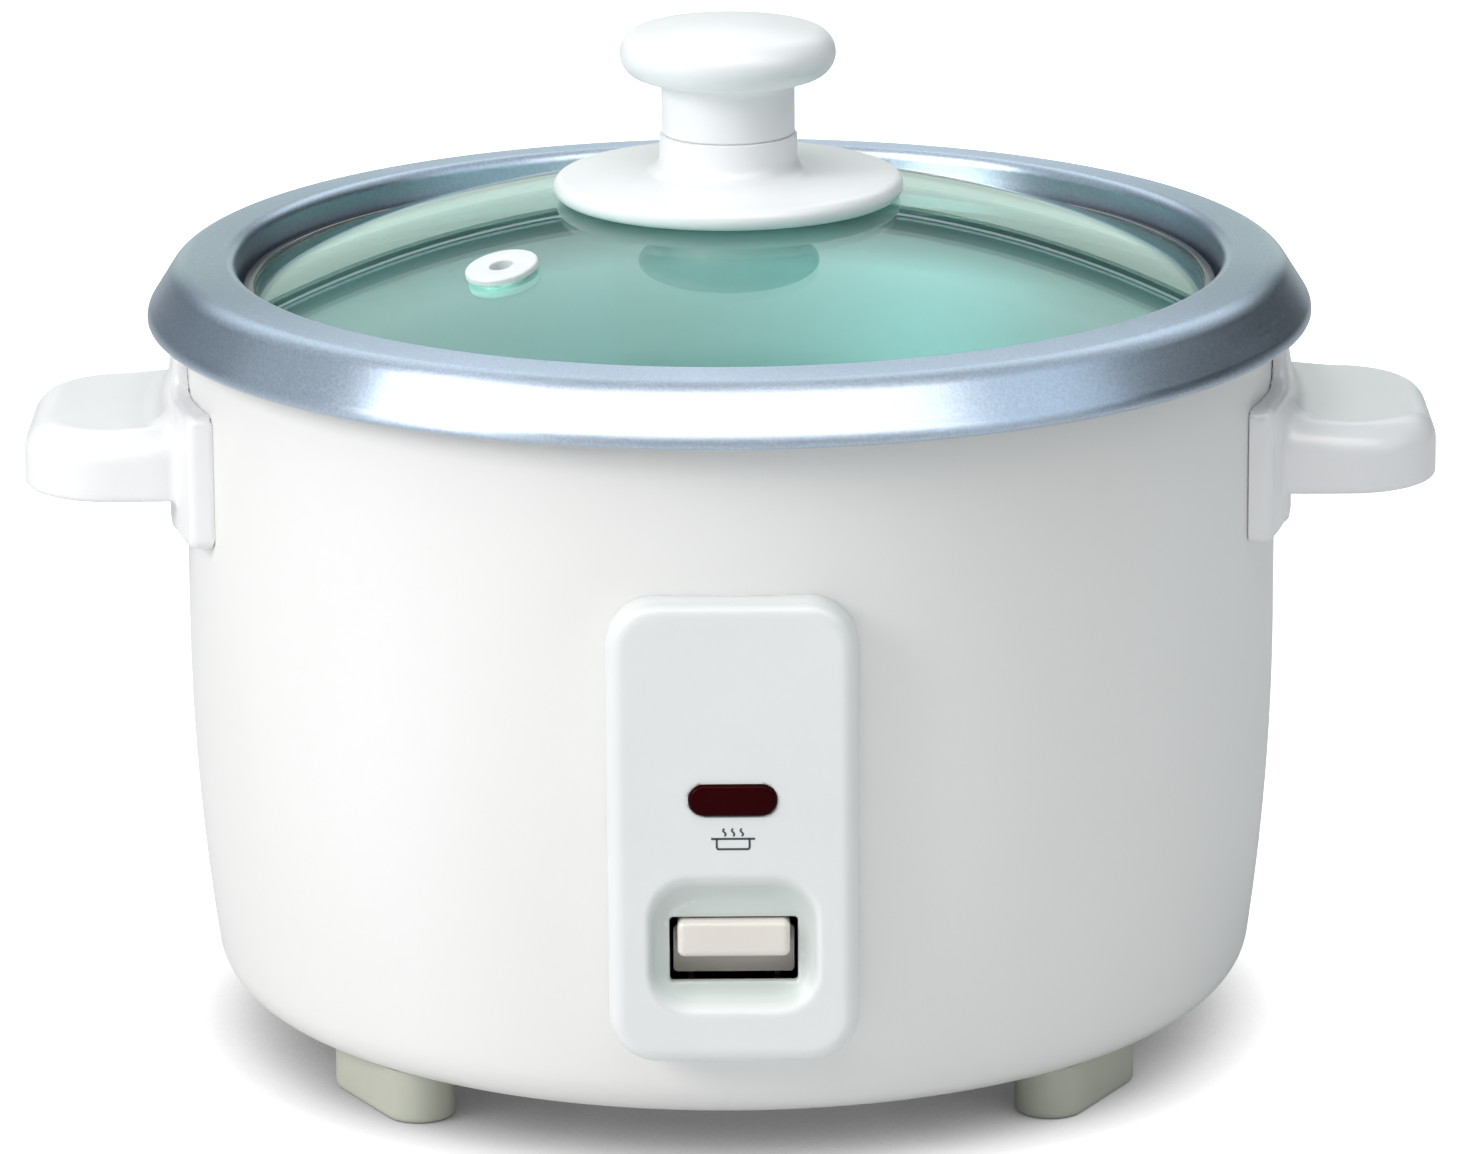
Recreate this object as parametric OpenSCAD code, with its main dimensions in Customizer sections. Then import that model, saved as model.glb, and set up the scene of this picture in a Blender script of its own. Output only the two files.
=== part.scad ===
// Drum rice cooker with a lift-out pot, a glass lid and one cook lever.
// The origin lies on the surface that the cooker stands on, under the axis of the body.
// +Z is up, and the control panel faces -Y.

/* [Body] */
// Outer radius of the drum above its bowed lower part
body_r = 112.8; // [106:0.1:118]
// Height of the top of the drum above the surface it stands on
body_top = 161.3; // [155:0.1:175]
// Sheet thickness of the drum, its base plate and its brackets
sheet_t = 1.2; // [0.8:0.1:2]
// Height at which the drum begins to bow inward
bow_start = 87; // [75:1:110]
// Radius of the bow of the lower drum
bow_r = 495; // [400:5:800]
// Radius of the rounded bottom corner of the drum
corner_r = 11; // [8:0.5:14]
// Distance that the flange under the drum reaches in from the drum's face
flange_w = 28.8; // [25:0.1:32]
// Bend radius at the top of the drum
top_bend = 3; // [2:0.5:4]

/* [Feet] */
// Height of the feet, which is the gap under the drum
foot_h = 10; // [8:0.5:16]
// Width of a foot
foot_w = 14.5; // [13:0.5:17]
// Length of a foot
foot_l = 36; // [28:0.5:40]
// Distance of each foot's middle in from the drum's face
foot_inset = 20.6; // [19:0.1:22.6]
// Angle from the front at which the front feet stand
foot_angle = 48.7; // [42:0.1:52]
// Turn of a foot out of line with the drum's edge
foot_turn = 12; // [0:1:15]

/* [Pot] */
// Distance of the rim's inner wall in from the drum's face
rim_inset = 11.1; // [10.6:0.1:11.5]
// Width of the ledge that carries the lid, from the rim's inner wall to the cooking wall
ledge_w = 4.7; // [3.2:0.1:10]
// Sheet thickness of the pot
pot_t = 1.2; // [1:0.1:1.6]
// Radius of the pot's inner bottom corner
pot_corner = 14; // [10:0.5:20]
// Width of the rim from its inner wall to the turn of its skirt
rim_flat = 11.3; // [9.5:0.1:12.3]
// How far the rim's lip stands out beyond the drum's face
lip_proud = 7.2; // [5.2:0.1:11]
// Height that the skirt of the rim falls
skirt_h = 11; // [9:0.5:13]
// Depth of the lid ledge below the top of the rim
ledge_drop = 11.7; // [9:0.1:14]

/* [Lid] */
// Outer radius of curvature of the glass dome
dome_r = 250; // [220:5:320]
// Thickness of the glass
glass_t = 3.5; // [3:0.1:4.5]
// Gap between the steel band of the lid and the rim's inner wall
lid_play = 1.2; // [0.7:0.1:1.7]
// Sheet thickness of the band
band_t = 0.6; // [0.4:0.1:0.8]
// Width of the band's lip over the glass
band_lip = 2.4; // [2:0.1:4]
// Radius of the vent grommet's flange
vent_r = 7.5; // [6:0.1:9]
// Radius of the steam hole in the grommet
vent_hole_r = 1.6; // [1:0.1:2.5]
// Distance of the vent from the lid's axis
vent_place = 62.8; // [50:0.1:75]
// Angle of the vent from the front, positive to the right
vent_angle = -46.5; // [-90:0.5:90]

/* [Knob] */
// Radius of the knob's wide base
base_disc_r = 36; // [30:0.5:40]
// Height of the knob's base
base_disc_h = 13.2; // [12:0.1:16]
// Radius of the knob's neck
neck_r = 13.7; // [12:0.1:15]
// Radius of the knob's grip
grip_r = 22.2; // [20:0.1:26]
// Height of the knob above its base
grip_h = 23.7; // [22:0.1:28]
// Radius of the grip's rounded edge
grip_edge = 5; // [4:0.1:5.5]

/* [Handles] */
// How far a handle reaches out from the drum's face
handle_out = 32.6; // [26:0.1:42]
// Width of a handle from front to back
handle_w = 61; // [50:1:70]
// Height of the underside of the handles
handle_low = 118; // [110:0.5:124]
// Height of a handle's grip from its underside to its top
handle_h = 16.5; // [14:0.5:22]
// Wall thickness of the handles
handle_wall = 2.6; // [2:0.1:4]
// Width of the saddle against the drum
saddle_w = 85; // [76:1:92]
// Height of the saddle against the drum
saddle_h = 28; // [26:0.5:34]
// Thickness of the saddle
saddle_t = 3.4; // [2.5:0.1:5]
// How far the saddle's middle rises above its shoulders
saddle_tab = 10; // [6:0.5:14]

/* [Panel] */
// Width of the control panel
panel_w = 49.2; // [46:0.1:56]
// Height of the control panel
panel_h = 94.2; // [90:0.1:104]
// Height of the panel's lower edge above the surface
panel_low = 25.9; // [22:0.1:30]
// How far the panel's face stands proud of the drum
panel_proud = 5.2; // [4:0.1:8]
// Corner radius of the panel
panel_corner = 10; // [7:0.5:14]
// Radius of the panel's rounded front edge
panel_edge = 3.4; // [2:0.1:4]
// Wall thickness of the panel
panel_t = 2; // [1.5:0.1:2.5]
// Width of the dished recess round the lever
dish_w = 33.7; // [31:0.1:38]
// Height of the dished recess
dish_h = 28.5; // [26:0.1:32]
// Depth of the dished recess
dish_d = 3; // [2:0.1:3.5]
// Width of the lever's window
window_w = 25.2; // [24.5:0.1:27]
// Height of the lever's window
window_h = 13.2; // [12.8:0.1:16]
// Width of the indicator lens
lens_w = 17.4; // [14:0.1:20]
// Height of the indicator lens
lens_h = 6.4; // [5:0.1:8]
// Height of the lens's middle above the surface
lens_z = 80.2; // [76:0.1:90]

/* [Lever] */
// Width of the paddle
paddle_w = 22.1; // [18:0.1:23]
// Height of the paddle
paddle_h = 7.4; // [6:0.1:8]
// Distance of the lever's pivot in front of the axis
pivot_y = 45; // [40:0.5:50]
// Height of the lever's pivot
pivot_z = 34.4; // [32:0.1:36]
// Radius of the pivot pin
pin_r = 1.5; // [1.2:0.1:2]
// Width of the lever's steel strip
strip_w = 11; // [9:0.5:12]
// Thickness of the lever's steel strip
strip_t = 1.6; // [1.2:0.1:2]
// Angle that the lever turns from warm to cook
lever_turn = 4.1; // [3:0.1:4.5]

/* [Heater] */
// Distance of the heating plate's edge in from the pot's cooking wall
plate_inset = 13; // [11:0.5:17]
// Thickness of the heating plate
plate_t = 10; // [8:0.5:12]
// Height of the heating plate's top, where the pot stands
plate_top = 68; // [66:0.5:72]
// Ring radius of the heating element
element_ring = 52; // [44:0.5:58]
// Radius of the heating element's sheath
element_r = 3.5; // [3:0.1:4.5]
// Distance of the plate's legs in from the plate's edge
leg_inset = 10; // [9:0.5:16]

/* [Sensor] */
// Radius of the sensor cap
cap_r = 16.6; // [15:0.1:18]
// Outer radius of the sensor's tube
tube_r = 12; // [11:0.1:12.5]
// Travel of the sensor cap under the pot
cap_travel = 1.2; // [0.8:0.1:1.5]
// Radius of the lever's magnet
magnet_r = 10.4; // [9:0.1:10.5]
// Height of the lever's magnet
magnet_h = 6; // [4:0.1:7]

/* [Inlet] */
// Width of the inlet's socket
socket_w = 28; // [24:0.5:32]
// Height of the inlet's socket
socket_h = 16; // [14:0.5:20]
// Depth of the inlet's socket
socket_d = 20; // [16:0.5:24]
// Height of the inlet's middle above the surface
socket_z = 37; // [34:0.5:40]

/* [Fits] */
// Gap between fixed pieces that fit into each other
seat_gap = 0.05; // [0.02:0.01:0.1]
// Radial gap of the pivot pin in the lever
pin_gap = 0.05; // [0.02:0.01:0.1]
// Gap between pieces that slide past each other
slide_gap = 0.4; // [0.3:0.05:0.6]
// Radius of the assembly screws
screw_r = 1.5; // [1.2:0.1:2]

/* [Hidden] */
$fn = 96;
hull_fn = 32;
eps = 0.01;

// Fits and fasteners
hole_r = screw_r + 0.15;
head_r = 2 * screw_r;
head_h = 0.8 * screw_r;
lift_gap = 0.3;

// Drum: the corner circle touches the bow circle from inside
base_z = foot_h;
flange_in = body_r - flange_w;
foot_place = body_r - foot_inset;
rim_in = body_r - rim_inset;
floor_z = base_z + sheet_t;
bow_dz = bow_start - base_z - corner_r;
bow_angle = asin(bow_dz / (bow_r - corner_r));
corner_place = body_r - bow_r + (bow_r - corner_r) * cos(bow_angle);
top_flange_in = rim_in + pot_t + slide_gap + 2.5;
shield_t = 0.8;
shield_r = rim_in + pot_t + slide_gap + 0.7;
shield_top = body_top + shield_t;

// Pot: its rim clears the shield, and its floor stands on the heating plate
pot_r = rim_in - ledge_w;
rim_turn = rim_in + rim_flat;
rim_out = body_r + lip_proud;
crest_z = shield_top + lift_gap + pot_t;
ledge_z = crest_z - ledge_drop;
pot_floor = plate_top + pot_t;

// Lid: the glass lies in the band, and the band lies on the pot's ledge
band_r = rim_in - lid_play;
glass_edge = band_r - band_t - seat_gap;
glass_low = ledge_z + band_t + seat_gap;
dome_z = glass_low - sqrt(pow(dome_r - glass_t, 2) - pow(glass_edge, 2));
dome_top = dome_z + dome_r;
lip_in = band_r - band_lip;
band_top = dome_at(lip_in) + seat_gap + band_t;
glass_hole_r = 4;

// Knob: its base rides the dome on a thin edge
base_edge = 2.2;
base_low = dome_at(base_disc_r - base_edge) + seat_gap;
base_top = base_low + base_disc_h;
knob_low = base_top + seat_gap;
knob_top = knob_low + grip_h;
bore_r = 2.2;

// Handles
handle_reach = body_r + handle_out;
saddle_top = handle_low + handle_h + 4.5;
saddle_low = saddle_top - saddle_h;
saddle_r = body_r + 25;
saddle_x = body_r + saddle_t - saddle_r;
tab_w = saddle_w - 42;
tab_lean = 1.6;
handle_fillet = 6;
rib_t = 1.6;
boss_r = 4;
boss_l = 14;
fillet_turn = asin((tab_w / 2 - 1) / (body_r + saddle_t));
handle_screw_y = 19;
handle_screw_z = handle_low + handle_h / 2;

// Panel: the lever's window lies at the middle of the dish
panel_face = body_r + panel_proud;
panel_mid = panel_low + panel_h / 2;
dish_z = panel_low + 10.2 + dish_h / 2;
window_z = dish_z - 1.5;
window_top = window_z + window_h / 2;
dish_floor = panel_face - dish_d;
panel_boss_r = 3.4;
boss_low = panel_low + 5.6;
boss_high = panel_low + panel_h - 8;
lamp_r = 2.5;
lamp_y = body_r - sheet_t - lamp_r - 0.6;

// Lever: the strip lies over the pivot barrel, and its fork lifts the magnet rod
barrel_r = 3.6;
strip_low = pivot_z + barrel_r - 0.8;
strip_top = strip_low + strip_t;
barrel_w = 16;
paddle_top = window_top - 0.3;
paddle_z = paddle_top - paddle_h / 2;
paddle_front = panel_face - 0.9;
paddle_back = body_r - sheet_t - 8;
lever_lift = pivot_y * sin(lever_turn);
rod_r = 2;
fork_gap = 0.3;

// Sensor stack, from the heating plate down; the cap's top is just clear of the pot
plate_r = pot_r - plate_inset;
leg_place = plate_r - leg_inset;
plate_low = plate_top - plate_t;
cap_top = plate_top - seat_gap;
cap_t = 1.5;
tube_t = 1;
well_r = cap_r + slide_gap + 0.5;
hub_r = well_r + 6.8;
carrier_top = plate_low - 10.5;
carrier_low = carrier_top - 1.5;
tube_low = carrier_low - 1.5;
ferrite_h = 2.3;
ferrite_low = cap_top - cap_t - ferrite_h;
magnet_top = ferrite_low - cap_travel - lever_lift - lift_gap;
magnet_low = magnet_top - magnet_h;
spring_wire = 0.7;
spring_r = tube_r + spring_wire + 1.6;
spring_turns = 6;

// Inlet
socket_wall = 2;
inlet_face = body_r + 2.2;
inlet_back = inlet_face - socket_d - socket_wall;

// Outer radius of the drum at height z, above its corner
function drum_r(z) =
    z >= bow_start ? body_r : body_r - bow_r + sqrt(bow_r * bow_r - pow(bow_start - z, 2));
// Height of the dome's outer face at radius r
function dome_at(r) = dome_z + sqrt(dome_r * dome_r - r * r);
// Points along an arc about [x, z], from angle a to angle b
function arc(x, z, r, a, b, n = 8) =
    [for (i = [0 : n]) let (t = a + (b - a) * i / n) [x + r * cos(t), z + r * sin(t)]];
// Unit normal on the left of the step from p to q
function left(p, q) = [p[1] - q[1], q[0] - p[0]] / norm(q - p);
// Mitred step sideways at point i of a path
function miter(path, i) =
    let (last = len(path) - 1,
         before = left(path[max(i - 1, 0)], path[max(i, 1)]),
         after = left(path[min(i, last - 1)], path[min(i + 1, last)]))
    (before + after) / (1 + before * after);
// The path moved sideways by d
function beside(path, d) = [for (i = [0 : len(path) - 1]) path[i] + d * miter(path, i)];
function reversed(path) = [for (i = [len(path) - 1 : -1 : 0]) path[i]];
// Closed outline of a sheet of thickness t on the left of a path
function sheet(path, t) = concat(path, reversed(beside(path, t)));

// Turns its children about the axis, in steps round a circle
module around(angles) { for (a = angles) rotate([0, 0, a]) children(); }

// A screw that points up, with its head's upper face at z = 0
module screw(r, length, head = head_r, head_height = head_h) {
    translate([0, 0, -head_height]) cylinder(r = head, h = head_height);
    translate([0, 0, -head_height]) cylinder(r = r, h = head_height + length);
}

// Flat plate with round corners, centred, seen along Z
module round_rect(w, h, r) {
    square([w - 2 * r, h], center = true);
    square([w, h - 2 * r], center = true);
    for (x = [-1, 1], y = [-1, 1]) translate([x * (w / 2 - r), y * (h / 2 - r)]) circle(r = r);
}

// Flat bar with round ends, centred, seen along Z
module stadium(w, h) {
    square([w - h, h], center = true);
    for (x = [-1, 1]) translate([x * (w - h) / 2, 0]) circle(r = h / 2);
}

// Sets its children up on the XZ plane, so that their +Z points to -Y
module face_front(y, z) { translate([0, -y, z]) rotate([90, 0, 0]) children(); }

// ---------- Body ----------

function drum_path() = concat(
    [[flange_in, base_z]],
    arc(corner_place, base_z + corner_r, corner_r, -90, -bow_angle, 8),
    arc(body_r - bow_r, bow_start, bow_r, -bow_angle * 0.9, 0, 9),
    arc(body_r - top_bend, body_top - top_bend, top_bend, 0, 90, 6),
    [[top_flange_in, body_top]]);

// The whole space of the drum, grown by gap, for cutting what seats on it
module drum_space(gap) {
    rotate_extrude($fn = 144)
        polygon(concat([[0, base_z - gap]], beside(drum_path(), -gap), [[0, body_top + gap]]));
}

module outer_body() color("whitesmoke") difference() {
    rotate_extrude($fn = 144) polygon(sheet(drum_path(), sheet_t));
    // Openings behind the panel for the lever and the lamp
    face_front(body_r - 6, window_z)
        linear_extrude(12) round_rect(window_w + 3, window_h + 4, 2);
    face_front(body_r - 6, lens_z) linear_extrude(12) round_rect(lens_w + 8, lens_h + 4, 2);
    // Opening for the inlet
    translate([0, body_r - 6, socket_z]) rotate([-90, 0, 0]) linear_extrude(12)
        round_rect(socket_w + 2 * socket_wall + 0.6, socket_h + 2 * socket_wall + 0.6, 3);
    panel_screw_places() cylinder(r = hole_r, h = 20, center = true);
    handle_screw_places() cylinder(r = hole_r, h = 20, center = true);
    inlet_screw_places() cylinder(r = hole_r, h = 20, center = true);
    foot_places() cylinder(r = hole_r, h = floor_z + 5);
    base_screw_places() cylinder(r = hole_r, h = floor_z + 5);
}

// The liner that the pot stands in: it hangs on the drum's top and holds the plate's edge
module heat_shield() color("silver") rotate_extrude($fn = 144) polygon(sheet(reversed(concat(
    [[plate_r - 5.5, plate_low - shield_t]],
    arc(shield_r + shield_t - 5, plate_low - shield_t + 5, 5, -90, 0, 6),
    [[shield_r + shield_t, body_top], [body_r - top_bend, body_top]])), -shield_t));

slot_x = 46;
slot_step = 9;
slot_l = 26;
slot_w = 3.4;

module base_plate() color("lightgray") difference() {
    translate([0, 0, floor_z]) cylinder(r = corner_place - 1.2, h = sheet_t);
    // Air slots between the legs
    for (side = [-1, 1], row = [0 : 6])
        translate([side * slot_x, (row - 2) * slot_step, floor_z - 1])
            linear_extrude(4) stadium(slot_l, slot_w);
    foot_places() cylinder(r = hole_r, h = 60, center = true);
    base_screw_places() cylinder(r = hole_r, h = 60, center = true);
    leg_places() cylinder(r = hole_r, h = 60, center = true);
}

module foot_places() for (a = [foot_angle, -foot_angle, 180 - foot_angle, 180 + foot_angle])
    rotate([0, 0, a]) translate([0, -foot_place, 0]) children();

// The pad's turn follows the side and the end of the cooker that it stands at
module foot_pads() {
    for (side = [-1, 1], end = [-1, 1])
        rotate([0, 0, end < 0 ? side * foot_angle : 180 - side * foot_angle])
            translate([0, -foot_place, 0]) rotate([0, 0, -side * end * foot_turn]) children();
}

module feet() color("beige") foot_pads() difference() {
    hull() for (x = [-1, 1]) translate([x * (foot_l - foot_w) / 2, 0, 0]) {
        cylinder(r = foot_w / 2 - 1, h = 1, $fn = hull_fn);
        translate([0, 0, 1]) cylinder(r = foot_w / 2, h = foot_h - 1, $fn = hull_fn);
    }
    cylinder(r = hole_r, h = 30, center = true);
    translate([0, 0, -1]) cylinder(r = head_r + 0.5, h = foot_h / 2 + 1);
}

module foot_screws() color("gray") foot_places()
    translate([0, 0, foot_h / 2]) screw(screw_r, foot_h / 2 + 2 * sheet_t + 1.5);

module base_screw_places() around([0, 90, 180, 270])
    translate([0, -(flange_in + corner_place) / 2, 0]) children();

module base_screws() color("gray") base_screw_places()
    translate([0, 0, base_z]) screw(screw_r, 2 * sheet_t + 2);

// ---------- Handles ----------

module handle_screw_places() for (side = [-1, 1], y = [-1, 1])
    translate([side * body_r, y * handle_screw_y, handle_screw_z]) rotate([0, side * 90, 0])
        children();

// Rounded block that the grip is cut from, shrunk all round by wall
module grip_block(wall) {
    edge = 5 - wall / 2;
    end = 14 - wall;
    root = body_r - 14 + 4 * wall;
    hull() for (y = [-1, 1]) {
        translate([root, y * (handle_w / 2 - edge - wall), handle_low + handle_h - edge - wall])
            rotate([0, 90, 0]) cylinder(r = edge, h = 1, $fn = hull_fn);
        translate([root, y * (handle_w / 2 - 1.5 - wall) - 1.5, handle_low - 1.5 * sign(wall)])
            cube([1, 3, 3]);
        translate([handle_reach - end - wall, y * (handle_w / 2 - end - wall),
                   handle_low - 1.5 * sign(wall)]) {
            cylinder(r = end - 1, h = 3, $fn = hull_fn);
            translate([0, 0, 2]) cylinder(r = end, h = 2, $fn = hull_fn);
            translate([0, 0, handle_h - edge - wall - 2.5])
                rotate_extrude($fn = hull_fn) translate([end - edge, 0]) circle(r = edge);
        }
    }
}

// Half outline of the saddle, from its lower corner up to the top of its raised middle
function saddle_side() = concat(
    arc(saddle_w / 2 - 1.5, saddle_low + 1.5, 1.5, -90, 0, 4),
    arc(saddle_w / 2 - 3, saddle_top - 3, 3, 0, 90),
    arc(tab_w / 2 + 4, saddle_top + 4, 4, -90, -180),
    arc(tab_w / 2 - 3, saddle_top + saddle_tab - 3, 3, 0, 90));

function both_sides(side) = concat(side, [for (i = [len(side) - 1:-1:0]) [-side[i][0], side[i][1]]]);

// The saddle is flatter than the drum, and its raised middle thins upwards
module saddle() intersection() {
    translate([body_r - 20, 0, 0]) rotate([90, 0, 90])
        linear_extrude(40) polygon(both_sides(saddle_side()));
    translate([saddle_x, 0, saddle_low - 1]) {
        cylinder(r = saddle_r, h = saddle_h + 1);
        translate([0, 0, saddle_h + 1])
            cylinder(r1 = saddle_r, r2 = saddle_r - tab_lean, h = saddle_tab + 1);
    }
}

// Ribs inside the grip, and a boss for each screw with a rib up to the grip's top
module grip_ribs() {
    for (y = [-1, 0, 1]) translate([body_r - 8, y * handle_screw_y / 2 - rib_t / 2, handle_low + 1])
        cube([handle_out + 8, rib_t, handle_h]);
    for (y = [-1, 1]) translate([body_r - 8, y * handle_screw_y, handle_screw_z]) {
        rotate([0, 90, 0]) cylinder(r = boss_r, h = boss_l + 8);
        translate([0, -rib_t / 2, 0]) cube([boss_l + 8, rib_t, handle_h]);
    }
}

// Handle on the +X side; the other one is its mirror image
module handle() difference() {
    union() {
        saddle();
        difference() {
            grip_block(0);
            grip_block(handle_wall);
        }
        // Concave fillet between the grip's top and the saddle's middle
        translate([0, 0, handle_low + handle_h - 1]) rotate([0, 0, -fillet_turn])
            rotate_extrude(angle = 2 * fillet_turn) translate([body_r + saddle_t - 1.5, 0])
                polygon(concat([[0, 0]], arc(handle_fillet + 1, handle_fillet + 1, handle_fillet,
                                             -90, -180, 8), [[0, handle_fillet + 1]]));
        intersection() {
            grip_block(handle_wall / 2);
            grip_ribs();
        }
    }
    // The drum is a plain cylinder at this height
    translate([0, 0, saddle_low - 2])
        cylinder(r = body_r + seat_gap, h = saddle_h + saddle_tab + 4);
    for (y = [-1, 1]) translate([body_r - 12, y * handle_screw_y, handle_screw_z])
        rotate([0, 90, 0]) cylinder(r = screw_r + seat_gap, h = 23);
}

module right_handle() color("white") handle();
module left_handle() color("white") mirror([1, 0, 0]) handle();

// The heads bear on the drum's inner face
module handle_screws() color("gray") handle_screw_places()
    translate([0, 0, -sheet_t - 2.2]) screw(screw_r, sheet_t + 2.2 + 10);

// ---------- Control panel ----------

module panel_screw_places() for (z = [boss_low, boss_high]) face_front(drum_r(z), z) children();

// Plate with a rounded front edge, its face at z = 0 and its back at z = -depth
module soft_plate(w, h, corner, edge, depth) hull()
    for (x = [-1, 1], y = [-1, 1]) translate([x * (w / 2 - corner), y * (h / 2 - corner), 0]) {
        translate([0, 0, -edge]) rotate_extrude($fn = hull_fn)
            translate([corner - edge, 0]) circle(r = edge);
        translate([0, 0, -depth]) cylinder(r = corner, h = 1, $fn = hull_fn);
    }

// The dish narrows towards its floor, grown by wall for its back
module dish(wall) hull() {
    face_front(panel_face + eps, dish_z) linear_extrude(eps)
        round_rect(dish_w + 2 * wall, dish_h + 2 * wall, 10 + wall, $fn = hull_fn);
    face_front(dish_floor - wall, dish_z) linear_extrude(eps)
        round_rect(dish_w - 5 + wall, dish_h - 5 + wall, 7.5 + wall, $fn = hull_fn);
}

// Screw bosses that run from inside the drum's face to the back of the panel's
module panel_bosses() for (z = [boss_low, boss_high]) face_front(drum_r(z) - 3, z)
    cylinder(r = panel_boss_r, h = panel_face - panel_t / 2 - drum_r(z) + 3);

module panel_shell() difference() {
    union() {
        difference() {
            face_front(panel_face, panel_mid)
                soft_plate(panel_w, panel_h, panel_corner, panel_edge, 20);
            face_front(panel_face - panel_t, panel_mid)
                soft_plate(panel_w - 2 * panel_t, panel_h - 2 * panel_t,
                           panel_corner - panel_t, panel_edge - 1, 30);
        }
        dish(panel_t);
        panel_bosses();
    }
    dish(0);
    face_front(body_r - 6, window_z)
        linear_extrude(20) square([window_w, window_h], center = true);
    face_front(body_r - 6, lens_z)
        linear_extrude(20) stadium(lens_w + 2 * seat_gap, lens_h + 2 * seat_gap);
    drum_space(seat_gap);
    panel_screw_places() translate([0, 0, -6])
        cylinder(r = screw_r + seat_gap, h = 6 + panel_proud - 1.5);
}

// Two ears on the back of the panel hold the ends of the lamp
module lamp_ears() difference() {
    ear_t = 1.4;
    for (side = [-1, 1]) translate([side * (lens_w / 2 + 1.9) - ear_t / 2, 0, lens_z])
        rotate([90, 0, 90]) linear_extrude(ear_t) {
            translate([-panel_face + panel_t / 2, -lamp_r - 0.9])
                square([panel_face - panel_t / 2 - lamp_y, 2 * lamp_r + 1.8]);
            translate([-lamp_y, 0]) circle(r = lamp_r + 0.9);
        }
    translate([0, -lamp_y, lens_z]) rotate([0, 90, 0])
        cylinder(r = lamp_r + seat_gap, h = 2 * lens_w, center = true);
}

module control_panel() color("white") {
    panel_shell();
    lamp_ears();
}

module panel_screws() color("gray") panel_screw_places()
    translate([0, 0, -sheet_t - 0.4]) screw(screw_r, sheet_t + 0.4 + panel_proud - 2);

// The lens snaps in from behind, and its rim bears on the back of the panel's face
module indicator_lens() color("darkred") {
    face_front(panel_face + 0.7, lens_z) soft_plate(lens_w, lens_h, lens_h / 2, 0.9, 4);
    face_front(panel_face - panel_t - 1.2, lens_z) linear_extrude(1.2) stadium(lens_w + 2, lens_h + 2);
}

module indicator_lamp() color("orange") translate([0, -lamp_y, lens_z]) rotate([0, 90, 0]) {
    cylinder(r = lamp_r, h = lens_w + 5.6, center = true);
    for (end = [-1, 1]) translate([0, 0, end * (lens_w / 2 + 2.8)]) cylinder(r = 0.4, h = 3, center = true);
}

// ---------- Lever ----------

// The paddle takes the strip's front end in a slot in its back
module lever_paddle() color("ivory") difference() {
    hull() for (x = [-1, 1], z = [-1, 1])
        translate([x * (paddle_w / 2 - 1.4), -paddle_back, paddle_z + z * (paddle_h / 2 - 1.4)])
            rotate([90, 0, 0]) {
                cylinder(r = 1.4, h = 1, $fn = hull_fn);
                translate([0, 0, paddle_front - paddle_back - 1.4]) sphere(r = 1.4, $fn = hull_fn);
            }
    translate([-strip_w / 2 - seat_gap, -paddle_back - 6, paddle_z - strip_t / 2 - seat_gap])
        cube([strip_w + 2 * seat_gap, 12, strip_t + 2 * seat_gap]);
}

// Outline of the cranked strip, seen along X with y to the right
function strip_path() = [
    [rod_r + 6, strip_low], [-pivot_y - 8, strip_low],
    [-pivot_y - 24, paddle_z - strip_t / 2], [-paddle_back - 6 + seat_gap, paddle_z - strip_t / 2]];

module lever_arm() color("gainsboro") difference() {
    union() {
        rotate([90, 0, 90]) linear_extrude(strip_w, center = true)
            polygon(sheet(strip_path(), -strip_t));
        translate([0, -pivot_y, pivot_z]) rotate([0, 90, 0])
            cylinder(r = barrel_r, h = barrel_w, center = true);
        // Pip that holds the upper switch leaf open
        translate([0, -pivot_y / 2, strip_low - 2]) cylinder(r = 1.6, h = 2 + eps);
    }
    translate([0, -pivot_y, pivot_z]) rotate([0, 90, 0])
        cylinder(r = pin_r + pin_gap, h = 2 * barrel_w, center = true);
    // Fork for the magnet rod
    translate([0, 0, strip_low - 1]) linear_extrude(4) {
        circle(r = rod_r + slide_gap);
        translate([-rod_r - slide_gap, 0]) square([2 * (rod_r + slide_gap), 20]);
    }
}

module lever_bracket() color("silver") difference() {
    ear_in = barrel_w / 2 + 0.3;
    union() {
        translate([-ear_in - sheet_t, -pivot_y - 8, floor_z + sheet_t])
            cube([2 * (ear_in + sheet_t), 16, sheet_t]);
        for (x = [-ear_in - sheet_t, ear_in]) translate([x, -pivot_y, 0]) rotate([90, 0, 90])
            linear_extrude(sheet_t) {
                translate([-5, floor_z + sheet_t]) square([10, pivot_z - floor_z - sheet_t]);
                translate([0, pivot_z]) circle(r = 5);
            }
    }
    translate([0, -pivot_y, pivot_z]) rotate([0, 90, 0])
        cylinder(r = pin_r + seat_gap, h = 40, center = true);
}

module pivot_pin() color("gray") translate([0, -pivot_y, pivot_z]) rotate([0, 90, 0]) {
    half = barrel_w / 2 + 0.3 + sheet_t;
    cylinder(r = pin_r, h = 2 * half + 1.6, center = true);
    translate([0, 0, half + seat_gap]) cylinder(r = pin_r + 1, h = 1);
}

// Switch beside the lever: two leaves clamped in an insulating stack
leaf_t = 0.5;
leaf_low = strip_low - 6.5;
leaf_high = strip_low - 2.3 - leaf_t;
switch_x = 19;

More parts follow.
